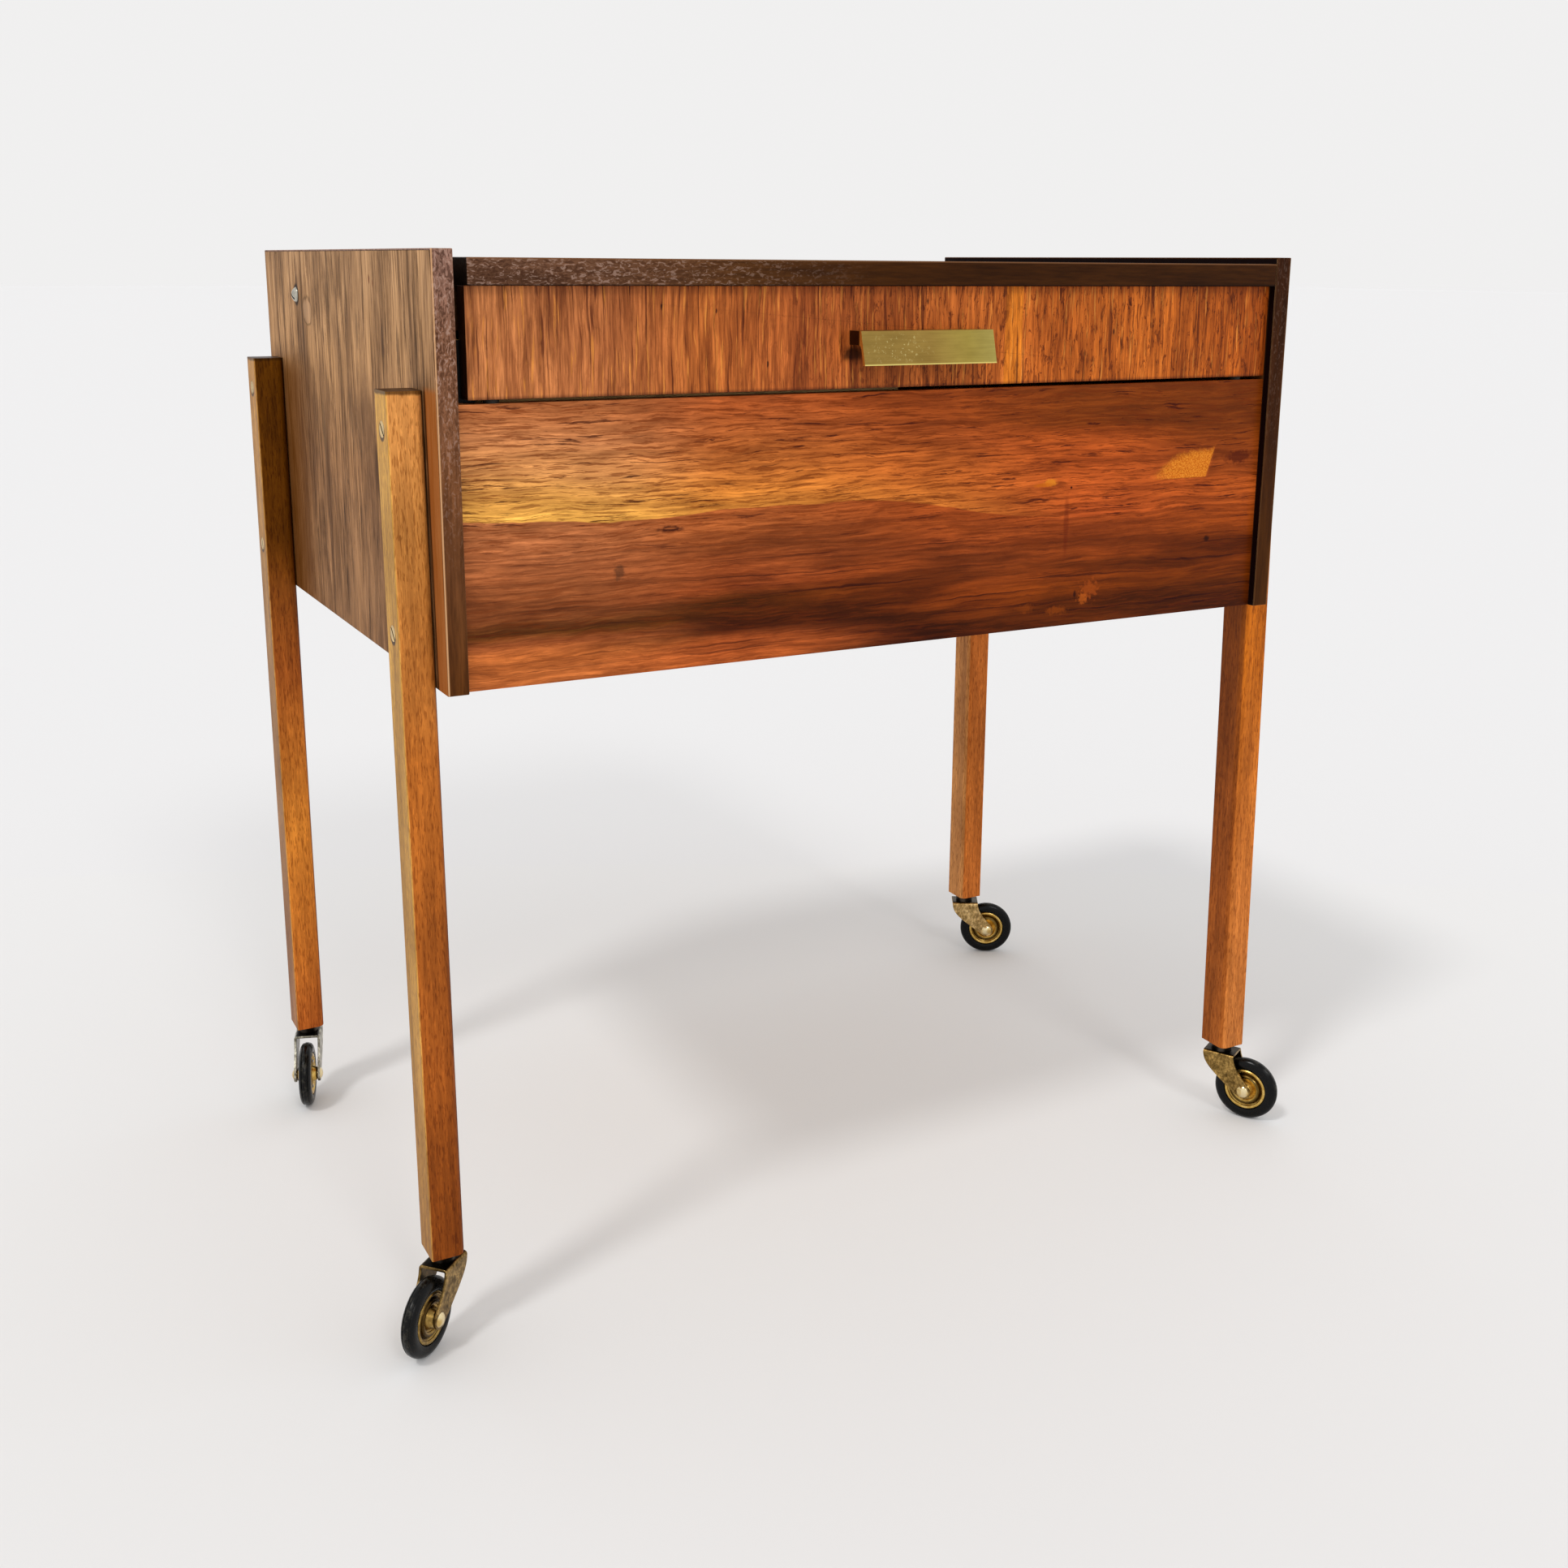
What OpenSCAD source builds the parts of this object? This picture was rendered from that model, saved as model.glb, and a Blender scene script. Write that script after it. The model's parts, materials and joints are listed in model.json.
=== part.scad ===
// Sewing cart: a veneered case with a lid that turns on two screws, two sliding
// trays over a deep compartment, four wooden legs and four swivel casters.
// X runs from left to right, Y from front to back and Z up. The floor is Z = 0.

/* [Case] */
// Width across the two side boards
case_w = 550; // [520:5:600]
// Depth of the side boards
case_d = 380; // [370:5:400]
// Height of the side boards
case_h = 221; // [215:1:230]
// Height of the side boards' top edge above the floor
case_top = 596; // [560:1:620]
// Thickness of the boards
board_t = 11; // [9:0.5:13]
// Thickness of the dark strip on the boards' edges
edging_t = 1; // [0.6:0.1:1.5]
// Distance of the front panels behind the side boards' front edge
front_recess = 5.5; // [3:0.5:8]
// Distance of the front edge before the middle of the whole outline
front_offset = 182; // [170:1:195]
// Height of the lower front panel
lower_front_h = 146; // [140:1:150]
// Thickness of the bottom board
bottom_t = 8; // [5:0.5:10]

/* [Lid] */
// Thickness of the lid board
lid_t = 13.5; // [12:0.5:16]
// Distance of the lid's top below the side boards' top edge
lid_drop = 4; // [2:0.5:6]
// Gap between the lid and the left side board
lid_gap_left = 6.5; // [5:0.5:8]
// Gap between the lid and the right side board
lid_gap_right = 0.6; // [0.4:0.1:1]
// Distance from the case's front edge to the pivot screws
pivot_y = 293; // [288:1:298]
// Distance of the pivot screws below the lid's underside
pivot_drop = 9.8; // [9:0.1:11]
// Gap between the upper and the lower front panel
front_gap = 2; // [1.5:0.5:3]

/* [Handle] */
// Length of the pull
handle_w = 86.5; // [70:0.5:110]
// Depth of the pull's solid back
handle_d = 12.5; // [11:0.5:15]
// Height of the pull's solid back
handle_base_h = 7.7; // [7:0.1:9]
// Whole height of the pull
handle_h = 18.4; // [17:0.1:22]
// How far the lip leans out at its lower edge
handle_lean = 4.8; // [2:0.1:7]
// Thickness of the lip
handle_lip_t = 2; // [1.5:0.1:2.5]
// Distance of the pull's top below the side boards' top edge
handle_drop = 41.3; // [38:0.1:44]

/* [Trays] */
// Width of one tray
tray_w = 262; // [240:1:262]
// Height of one tray
tray_h = 44; // [38:1:44]
// Thickness of the tray boards
tray_t = 7; // [5:0.5:8]
// Thickness of the tray bottoms
tray_floor_t = 3; // [2:0.5:4]
// Height of the upper tray's underside above the floor
upper_tray_z = 508; // [508:1:510]
// Height of the lower tray's underside above the floor
lower_tray_z = 450; // [445:1:451]
// Free space before and behind a tray
tray_play = 0.75; // [0.5:0.05:1]
// Width and height of a tray runner
runner_t = 10; // [8:1:12]
// Thickness of the board behind the trays
partition_t = 8; // [6:1:9]
// Distance from the case's front edge to the board behind the trays
partition_y = 268; // [266:1:268]
// Thickness of the tray dividers
divider_t = 4; // [3:0.5:5]
// Number of dividers in the upper tray
divider_count = 2; // [1:1:4]
// Diameter of a spool peg
peg_d = 5; // [4:0.5:6]
// Length of a spool peg
peg_l = 34; // [25:1:36]

/* [Legs] */
// Width of a leg, from left to right
leg_w = 19; // [16:0.5:22]
// Depth of a leg, from front to back
leg_d = 22; // [20:0.5:24]
// Height of the legs' top above the floor
leg_top = 527.3; // [520:0.1:540]
// Forward lean of the front legs, in degrees
leg_lean = 1.2; // [0:0.1:2]
// Distance from the case's front edge to the front legs, at their top
front_leg_y = 21.6; // [18:0.1:30]
// Distance from the case's front edge to the rear legs
rear_leg_y = 342; // [335:0.5:345]
// Radius of a leg's rounded inner edge
leg_round = 4.5; // [2:0.5:6]

/* [Casters] */
// Height of the legs' bottom above the floor
caster_h = 53; // [52:0.5:54]
// Radius of a wheel
wheel_r = 22.2; // [21.5:0.1:22.5]
// Width of a tyre
tyre_w = 8.6; // [8:0.1:10]
// Distance of the wheel's axle behind the swivel
trail = 19.8; // [18:0.1:21]
// Outer width of the fork
fork_w = 18; // [17.5:0.1:20]
// Thickness of the fork's metal
fork_t = 1.7; // [1.5:0.1:1.8]
// Directions in which the casters trail: front left, rear left, front right, rear right
headings = [-138.2, -108.5, -60.6, -30.1]; // [-180:0.1:180]

/* [Hidden] */
$fn = 64;

walnut = "#8a5230";
side_walnut = "#8c6c50";
dark_edge = "#4a2c1c";
beech = "#c08040";
tray_wood = "#d9b98a";
ply = "#cda873";
brass = "#a08a48";
fork_metal = "#8a7355";
nickel = "#b8b4a8";
rubber = "#161612";

eps = 0.01;
screw_play = 0.05;

// Case
case_bottom = case_top - case_h;
inner_x = case_w / 2 - board_t;
panel_back = front_recess + board_t;
lower_front_top = case_bottom + lower_front_h;
back_y = case_d - board_t;
bottom_lift = 4;

// Lid: heights, and the radius of its tail's swing round the pivot
lid_top = case_top - lid_drop;
lid_under = lid_top - lid_t;
pivot_z = lid_under - pivot_drop;
lid_x0 = -inner_x + lid_gap_left;
lid_x1 = inner_x - lid_gap_right;
lid_mid_x = (lid_x0 + lid_x1) / 2;
tail_r = back_y - pivot_y - 1.8;
tail_top_y = pivot_y + sqrt(tail_r ^ 2 - (lid_top - pivot_z) ^ 2);
tail_under_y = pivot_y + sqrt(tail_r ^ 2 - (lid_under - pivot_z) ^ 2);
upper_front_z = lower_front_top + front_gap;

// Lid battens, with the right one set in to take its spacer
batten_w = 16;
batten_h = 22;
batten_y0 = 24;
batten_y1 = pivot_y + 24;
batten_left_x = lid_x0;
batten_right_x = lid_x1 - 3 - batten_w;
batten_screw_y = [60, 150, 240];
batten_screw_r = 2;
batten_screw_l = batten_h + 8;

// Pivot screws
pivot_r = 2.25;
pivot_bore_r = pivot_r + screw_play;
pivot_head_r = 4.75;
pivot_head_h = 2.8;
pivot_slot_angle = [40, -25];
head_play = 0.1;
spacer_r = 6;
spacer_play = 0.2;

// Handle
handle_top = case_top - handle_drop;
handle_fillet = 2;
handle_screw_x = 28;
handle_screw_r = 1.9;
handle_screw_head_r = 4;
handle_screw_head_h = 2.4;
handle_screw_z = handle_top - handle_base_h / 2;
handle_screw_depth = 7;

// Trays
tray_y0 = panel_back + tray_play;
tray_d = partition_y - panel_back - 2 * tray_play;
tray_x_play = 1;
upper_tray_x = -inner_x + tray_x_play;
lower_tray_x = inner_x - tray_x_play - tray_w;
divider_h = tray_h - tray_floor_t - 6;
partition_z0 = lower_tray_z - 30;
partition_z1 = pivot_z - 23.7;
peg_columns = 4;
peg_rows = 2;
peg_sink = 2;

// Legs
leg_len = leg_top - caster_h;
leg_ease = 1;
leg_screw_z = [case_top - 88, case_top - 192];
leg_screw_r = 2;
leg_screw_head_r = 4.3;
leg_screw_head_h = 2.4;
leg_screw_l = leg_w + 8;
leg_slot_angles = [45, 15, -60, 80, 30, -35, 70, -10];
lean_run = leg_len * tan(leg_lean);

// Casters: front left, rear left, front right, rear right
corners = ["front_left", "rear_left", "front_right", "rear_right"];
leg_x = case_w / 2 + leg_w / 2;
caster_x = [-leg_x, -leg_x, leg_x, leg_x];
front_caster_y = front_leg_y - lean_run + leg_d / 2;
rear_caster_y = rear_leg_y + leg_d / 2;
caster_y = [front_caster_y, rear_caster_y, front_caster_y, rear_caster_y];
fork_top = caster_h - 5.5;
fork_back = -10.4;
fork_front = 11.5;
fork_tip_r = 5.4;
fork_bend = 2.2;
stem_r = 4;
stem_l = 34;
stem_collar_r = 7;
journal_r = 3;
swivel_play = 0.06;
axle_r = 2.5;
axle_play = 0.05;
axle_head_r = 4.1;
axle_head_h = 1.7;
hub_half_w = fork_w / 2 - fork_t - 0.4;
rim_r = 15;
rim_channel_r = 13;
rim_half_w = tyre_w / 2 - 0.3;
channel_half_w = rim_half_w - 1.2;

// Points of a cubic curve from a to d
function curve(a, b, c, d, steps) = [
  for (i = [0:steps]) let (t = i / steps)
    a * (1 - t) ^ 3 + b * 3 * t * (1 - t) ^ 2 + c * 3 * t ^ 2 * (1 - t) + d * t ^ 3
];

// Points of an arc round a centre
function arc(centre, r, from, to, steps) = [
  for (i = [0:steps]) let (a = from + (to - from) * i / steps)
    centre + r * [cos(a), sin(a)]
];

// Moves a part from the case's front edge to its place in the frame
module placed() {
  translate([0, -front_offset, 0]) children();
}

// Moves a caster part from the swivel's axis on the floor to its corner
module at_caster(i) {
  placed() translate([caster_x[i], caster_y[i], 0]) rotate([0, 0, headings[i]]) children();
}

// A block between two opposite corners
module block(low, high) {
  translate(low) cube(high - low);
}

// A cylinder along X, from x0 to x1
module x_rod(r, x0, x1, y, z) {
  translate([x0, y, z]) rotate([0, 90, 0]) cylinder(r = r, h = x1 - x0);
}

// A countersunk wood screw whose head's flat face is at the origin, pointing along -Z
module countersunk_screw(r, head_r, head_h, length, slot_angle) {
  difference() {
    union() {
      translate([0, 0, -head_h]) cylinder(r1 = r, r2 = head_r, h = head_h);
      translate([0, 0, -length]) cylinder(r = r, h = length - head_h + eps);
    }
    rotate([0, 0, slot_angle])
      translate([-head_r - 1, -0.6, -1]) cube([2 * head_r + 2, 1.2, 2]);
  }
}

// The hole that a countersunk screw sits in
module countersunk_hole(r, head_r, head_h, length) {
  translate([0, 0, -head_h]) cylinder(r1 = r + screw_play, r2 = head_r + screw_play, h = head_h + eps);
  translate([0, 0, -length - 0.5]) cylinder(r = r + screw_play, h = length + 0.5);
}

// Places children at each leg screw of one side, turned to point inwards
module at_leg_screws(corner) {
  side = caster_x[corner] < 0 ? -1 : 1;
  front = corner % 2 == 0;
  for (z = leg_screw_z) {
    shift = front ? -(leg_top - z) * tan(leg_lean) : 0;
    y = (front ? front_leg_y : rear_leg_y) + leg_d / 2 + shift;
    placed() translate([side * (case_w / 2 + leg_w), y, z]) rotate([0, side * 90, 0]) children();
  }
}

// Side boards with their edging, pivot bores and pilot holes for the leg screws
module side_board(side) {
  x0 = side < 0 ? -case_w / 2 : inner_x;
  color(side_walnut) difference() {
    placed() block([x0, edging_t, case_bottom],
                   [x0 + board_t, case_d - edging_t, case_top - edging_t]);
    placed() x_rod(pivot_bore_r, x0 - 1, x0 + board_t + 1, pivot_y, pivot_z);
    for (corner = side < 0 ? [0, 1] : [2, 3])
      at_leg_screws(corner) countersunk_hole(leg_screw_r, leg_screw_head_r, leg_screw_head_h, leg_screw_l);
  }
}

module side_edging(side) {
  x0 = side < 0 ? -case_w / 2 : inner_x;
  color(dark_edge) placed() difference() {
    block([x0, 0, case_bottom], [x0 + board_t, case_d, case_top]);
    block([x0 - 1, edging_t, case_bottom - 1],
          [x0 + board_t + 1, case_d - edging_t, case_top - edging_t]);
  }
}

module side_left() { side_board(-1); }
module side_right() { side_board(1); }
module side_left_edging() { side_edging(-1); }
module side_right_edging() { side_edging(1); }

module lower_front() {
  color(walnut) placed()
    block([-inner_x, front_recess, case_bottom], [inner_x, panel_back, lower_front_top]);
}

module back_panel() {
  color(walnut) placed() block([-inner_x, back_y, case_bottom], [inner_x, case_d, lid_top]);
}

module bottom_panel() {
  color(ply) placed()
    block([-inner_x, panel_back, case_bottom + bottom_lift],
          [inner_x, back_y, case_bottom + bottom_lift + bottom_t]);
}

// The board behind the trays, which the lid's tail leans on when the lid is open
module tray_partition() {
  color(tray_wood) placed()
    block([-inner_x, partition_y, partition_z0], [inner_x, partition_y + partition_t, partition_z1]);
}

// A runner under one edge of a tray
module runner(y0, tray_z) {
  color(beech) placed()
    block([-inner_x, y0, tray_z - runner_t], [inner_x, y0 + runner_t, tray_z]);
}

module runner_upper_front() { runner(panel_back, upper_tray_z); }
module runner_upper_rear() { runner(partition_y - runner_t, upper_tray_z); }
module runner_lower_front() { runner(panel_back, lower_tray_z); }
module runner_lower_rear() { runner(partition_y - runner_t, lower_tray_z); }

// Two rubber discs on the lower front's top edge, which carry the closed lid
module lid_bumpers() {
  color(rubber) placed() for (x = [-inner_x + 20, inner_x - 20])
    translate([x, front_recess + board_t / 2, lower_front_top]) cylinder(r = 4, h = front_gap);
}

// Places children at each batten screw, pointing down out of the batten
module at_batten_screws() {
  for (x = [batten_left_x + batten_w / 2, batten_right_x + batten_w / 2], y = batten_screw_y)
    placed() translate([x, y, lid_under - batten_h]) rotate([180, 0, 0]) children();
}

// The lid board, with a slanted rear edge that clears the back panel as the lid turns
module lid_panel() {
  color(walnut) difference() {
    placed() translate([lid_x0 + edging_t, 0, 0]) rotate([90, 0, 90])
      linear_extrude(lid_x1 - lid_x0 - 2 * edging_t) polygon([
        [edging_t, lid_under], [tail_under_y, lid_under], [tail_top_y, lid_top], [edging_t, lid_top]
      ]);
    at_batten_screws() countersunk_hole(batten_screw_r, 4, 2.2, batten_screw_l);
  }
}

module lid_edging() {
  color(dark_edge) placed() {
    translate([lid_x0, 0, 0]) rotate([90, 0, 90]) difference() {
      linear_extrude(lid_x1 - lid_x0) polygon([
        [0, lid_under], [tail_under_y, lid_under], [tail_top_y, lid_top], [0, lid_top]
      ]);
      translate([edging_t, lid_under - 1, edging_t])
        cube([case_d, lid_t + 2, lid_x1 - lid_x0 - 2 * edging_t]);
    }
  }
}

// Places children at each handle screw, on the lid's front panel's rear face, pointing back
module at_handle_screws() {
  for (x = [lid_mid_x - handle_screw_x, lid_mid_x + handle_screw_x])
    placed() translate([x, panel_back, handle_screw_z]) rotate([-90, 0, 0]) children();
}

module handle_screw_hole() {
  translate([0, 0, -handle_screw_head_h - 0.2])
    cylinder(r = handle_screw_head_r + 0.5, h = handle_screw_head_h + 1);
  translate([0, 0, -board_t - handle_screw_depth - 0.5])
    cylinder(r = handle_screw_r + screw_play, h = board_t + handle_screw_depth + 1);
}

module upper_front() {
  color(walnut) difference() {
    placed() block([lid_x0, front_recess, upper_front_z], [lid_x1, panel_back, lid_under]);
    at_handle_screws() handle_screw_hole();
  }
}

module batten(x0) {
  color(beech) difference() {
    placed() block([x0, batten_y0, lid_under - batten_h], [x0 + batten_w, batten_y1, lid_under]);
    at_batten_screws() countersunk_hole(batten_screw_r, 4, 2.2, batten_screw_l);
    placed() x_rod(pivot_bore_r, x0 - 1, x0 + batten_w + 1, pivot_y, pivot_z);
  }
}

module lid_batten_left() { batten(batten_left_x); }
module lid_batten_right() { batten(batten_right_x); }

module batten_screws() {
  color(brass) at_batten_screws()
    countersunk_screw(batten_screw_r, 4, 2.2, batten_screw_l, 35);
}

// The pull: a solid back with a lip that hangs from it and leans out
module handle() {
  slope = handle_lean / handle_h;
  lip_under = handle_top - handle_base_h;
  front_y = front_recess - handle_d;
  inner_top_y = front_y - slope * handle_base_h + handle_lip_t;
  color(brass) difference() {
    placed() translate([lid_mid_x - handle_w / 2, 0, 0]) rotate([90, 0, 90])
      linear_extrude(handle_w) polygon(concat(
        [
          [front_recess, lip_under], [front_recess, handle_top], [front_y, handle_top],
          [front_y - handle_lean, handle_top - handle_h],
          [front_y - handle_lean + handle_lip_t, handle_top - handle_h],
          [inner_top_y - slope * handle_fillet, lip_under - handle_fillet]
        ],
        arc([inner_top_y + handle_fillet, lip_under - handle_fillet], handle_fillet, 170, 90, 6)
      ));
    at_handle_screws() handle_screw_hole();
  }
}

module handle_screws() {
  color(nickel) at_handle_screws() difference() {
    union() {
      translate([0, 0, -handle_screw_head_h]) cylinder(r = handle_screw_head_r, h = handle_screw_head_h);
      translate([0, 0, -board_t - handle_screw_depth])
        cylinder(r = handle_screw_r, h = board_t + handle_screw_depth - handle_screw_head_h + eps);
    }
    rotate([0, 0, 30]) translate([-handle_screw_head_r - 1, -0.5, -1])
      cube([2 * handle_screw_head_r + 2, 1, 2]);
  }
}

// A round-head screw through a side board into its batten
module pivot_screw(side) {
  outer = side * (case_w / 2 + head_play);
  tip = side < 0 ? batten_left_x + batten_w - 1 : batten_right_x + 1;
  shank_l = abs(outer - tip);
  dome_r = (pivot_head_r ^ 2 + pivot_head_h ^ 2) / (2 * pivot_head_h);
  color(nickel) placed() translate([outer, pivot_y, pivot_z]) rotate([0, side * 90, 0])
    difference() {
      union() {
        translate([0, 0, -shank_l]) cylinder(r = pivot_r, h = shank_l + eps);
        intersection() {
          translate([0, 0, pivot_head_h - dome_r]) sphere(r = dome_r);
          cylinder(r = pivot_head_r + 1, h = pivot_head_h + 1);
        }
      }
      rotate([0, 0, pivot_slot_angle[side < 0 ? 0 : 1]])
        translate([-pivot_head_r - 1, -0.6, pivot_head_h - 1.3]) cube([2 * pivot_head_r + 2, 1.2, 2]);
    }
}

module pivot_screw_left() { pivot_screw(-1); }
module pivot_screw_right() { pivot_screw(1); }

// A bush on the pivot screw between a side board and its batten
module pivot_spacer(x0, x1) {
  color(brass) placed() difference() {
    x_rod(spacer_r, x0 + spacer_play, x1 - spacer_play, pivot_y, pivot_z);
    x_rod(pivot_bore_r, x0, x1, pivot_y, pivot_z);
  }
}

module pivot_spacer_left() { pivot_spacer(-inner_x, batten_left_x); }
module pivot_spacer_right() { pivot_spacer(batten_right_x + batten_w, inner_x); }

// Tray boards: the front and back run the whole width, and the ends stand between them
module tray_long_board(x0, y0, z0) {
  color(tray_wood) placed()
    block([x0, y0, z0 + tray_floor_t], [x0 + tray_w, y0 + tray_t, z0 + tray_h]);
}

module tray_end_board(x0, z0) {
  color(tray_wood) placed()
    block([x0, tray_y0 + tray_t, z0 + tray_floor_t],
          [x0 + tray_t, tray_y0 + tray_d - tray_t, z0 + tray_h]);
}

module tray_floor(x0, z0) {
  color(ply) placed()
    block([x0, tray_y0, z0], [x0 + tray_w, tray_y0 + tray_d, z0 + tray_floor_t]);
}

// A divider across a tray, centred on x
module tray_divider(x, z0) {
  color(tray_wood) placed()
    block([x - divider_t / 2, tray_y0 + tray_t, z0 + tray_floor_t],
          [x + divider_t / 2, tray_y0 + tray_d - tray_t, z0 + tray_floor_t + divider_h]);
}

tray_back_y = tray_y0 + tray_d - tray_t;
module upper_tray_front() { tray_long_board(upper_tray_x, tray_y0, upper_tray_z); }
module upper_tray_back() { tray_long_board(upper_tray_x, tray_back_y, upper_tray_z); }
module upper_tray_left() { tray_end_board(upper_tray_x, upper_tray_z); }
module upper_tray_right() { tray_end_board(upper_tray_x + tray_w - tray_t, upper_tray_z); }
module upper_tray_floor() { tray_floor(upper_tray_x, upper_tray_z); }
module upper_tray_dividers() {
  pitch = (tray_w - 2 * tray_t) / (divider_count + 1);
  for (i = [1:divider_count]) tray_divider(upper_tray_x + tray_t + i * pitch, upper_tray_z);
}

module lower_tray_front() { tray_long_board(lower_tray_x, tray_y0, lower_tray_z); }
module lower_tray_back() { tray_long_board(lower_tray_x, tray_back_y, lower_tray_z); }
module lower_tray_left() { tray_end_board(lower_tray_x, lower_tray_z); }
module lower_tray_right() { tray_end_board(lower_tray_x + tray_w - tray_t, lower_tray_z); }
module lower_tray_divider() { tray_divider(lower_tray_x + tray_w / 2, lower_tray_z); }

// Places children at each spool peg, on the floor of the lower tray's right half
module at_pegs() {
  pitch_x = (tray_w / 2 - tray_t) / peg_rows;
  pitch_y = (tray_d - 2 * tray_t) / peg_columns;
  for (i = [0:peg_rows - 1], j = [0:peg_columns - 1])
    placed() translate([
      lower_tray_x + tray_w / 2 + (i + 0.5) * pitch_x,
      tray_y0 + tray_t + (j + 0.5) * pitch_y,
      lower_tray_z + tray_floor_t
    ]) children();
}

module lower_tray_floor() {
  difference() {
    tray_floor(lower_tray_x, lower_tray_z);
    at_pegs() translate([0, 0, -peg_sink]) cylinder(r = peg_d / 2 + screw_play, h = peg_sink + 1);
  }
}

module spool_pegs() {
  color(beech) at_pegs() translate([0, 0, -peg_sink]) {
    cylinder(r = peg_d / 2, h = peg_l + peg_sink - 1);
    translate([0, 0, peg_l + peg_sink - 1]) cylinder(r1 = peg_d / 2, r2 = peg_d / 2 - 1, h = 1);
  }
}

// A leg's cross-section, with its inner edge at the front rounded and its others eased
module leg_section(side) {
  difference() {
    square([leg_w, leg_d]);
    leg_corner([0, 0], side < 0 ? leg_ease : leg_round);
    leg_corner([leg_w, 0], side < 0 ? leg_round : leg_ease);
    leg_corner([0, leg_d], leg_ease);
    leg_corner([leg_w, leg_d], leg_ease);
  }
}

// What a rounded corner takes off a leg's cross-section
module leg_corner(corner, r) {
  inward = [corner.x > 0 ? -1 : 1, corner.y > 0 ? -1 : 1];
  centre = corner + r * inward;
  difference() {
    translate([min(corner.x, centre.x) - (corner.x > 0 ? 0 : eps),
               min(corner.y, centre.y) - (corner.y > 0 ? 0 : eps)]) square(r + eps);
    translate(centre) circle(r);
  }
}

// A leg leans about its front bottom edge and is cut level at the caster
module leg(corner) {
  side = caster_x[corner] < 0 ? -1 : 1;
  front = corner % 2 == 0;
  lean = front ? leg_lean : 0;
  foot_y = front ? front_leg_y - lean_run : rear_leg_y;
  x0 = side < 0 ? -case_w / 2 - leg_w : case_w / 2;
  color(beech) difference() {
    placed() intersection() {
      translate([x0, foot_y, caster_h]) rotate([-lean, 0, 0])
        translate([0, 0, -10]) linear_extrude(leg_len + 20) leg_section(side);
      block([x0 - 1, foot_y - 50, caster_h], [x0 + leg_w + 1, foot_y + 80, leg_top]);
    }
    at_leg_screws(corner) countersunk_hole(leg_screw_r, leg_screw_head_r, leg_screw_head_h, leg_screw_l);
    placed() translate([caster_x[corner], caster_y[corner], caster_h - 1])
      cylinder(r = stem_r + screw_play, h = stem_l + 1.5);
  }
}

module leg_front_left() { leg(0); }
module leg_rear_left() { leg(1); }
module leg_front_right() { leg(2); }
module leg_rear_right() { leg(3); }

module leg_screws() {
  color(brass) for (corner = [0:3])
    at_leg_screws(corner)
      countersunk_screw(leg_screw_r, leg_screw_head_r, leg_screw_head_h, leg_screw_l,
                        leg_slot_angles[corner]);
}

// The fixed stems: a pin in the leg, a collar, and a journal riveted below the fork
module caster_stems() {
  plate_under = fork_top - fork_t;
  color(rubber) for (i = [0:3]) at_caster(i) {
    translate([0, 0, caster_h - eps]) cylinder(r = stem_r, h = stem_l);
    translate([0, 0, fork_top + 0.1]) cylinder(r = stem_collar_r, h = caster_h - fork_top - 0.1);
    translate([0, 0, plate_under - 0.5]) cylinder(r = journal_r, h = fork_t + 0.7);
    translate([0, 0, plate_under - 1.5]) cylinder(r = journal_r + 1.6, h = 1.4);
  }
}

// The outline of a fork's cheek, seen from the side, with the tip round the axle
module cheek_outline() {
  tip = [trail, wheel_r];
  lower_tangent = tip + fork_tip_r * [cos(231), sin(231)];
  upper_tangent = tip + fork_tip_r * [cos(41), sin(41)];
  polygon(concat(
    curve([fork_back, fork_top], [fork_back, fork_top - 10.5], [-4, fork_top - 14],
          lower_tangent, 14),
    curve(upper_tangent, upper_tangent + [-4.3, 5.7], [fork_front, fork_top - 9.5],
          [fork_front, fork_top], 12)
  ));
  translate(tip) circle(fork_tip_r);
}

// The fork's bent strip, seen along the direction of trail
module fork_bend_section() {
  half = fork_w / 2;
  difference() {
    union() {
      translate([-half, 0]) square([fork_w, fork_top - fork_bend]);
      translate([-half + fork_bend, 0]) square([fork_w - 2 * fork_bend, fork_top]);
      for (s = [-1, 1]) translate([s * (half - fork_bend), fork_top - fork_bend]) circle(fork_bend);
    }
    inner_bend = fork_bend - fork_t;
    translate([-half + fork_t, -1]) square([fork_w - 2 * fork_t, fork_top - fork_bend + 1]);
    translate([-half + fork_bend, -1]) square([fork_w - 2 * fork_bend, fork_top - fork_t + 1]);
    for (s = [-1, 1])
      translate([s * (half - fork_bend), fork_top - fork_bend]) circle(inner_bend);
  }
}

module fork(i) {
  color(fork_metal) at_caster(i) difference() {
    intersection() {
      translate([fork_back - 1, 0, 0]) rotate([90, 0, 90])
        linear_extrude(trail + fork_tip_r - fork_back + 2) fork_bend_section();
      translate([0, fork_w, 0]) rotate([90, 0, 0]) linear_extrude(2 * fork_w) cheek_outline();
    }
    translate([0, 0, fork_top - 5]) cylinder(r = journal_r + swivel_play, h = 10);
    translate([trail, fork_w, wheel_r]) rotate([90, 0, 0])
      cylinder(r = axle_r + axle_play, h = 2 * fork_w);
  }
}

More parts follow.
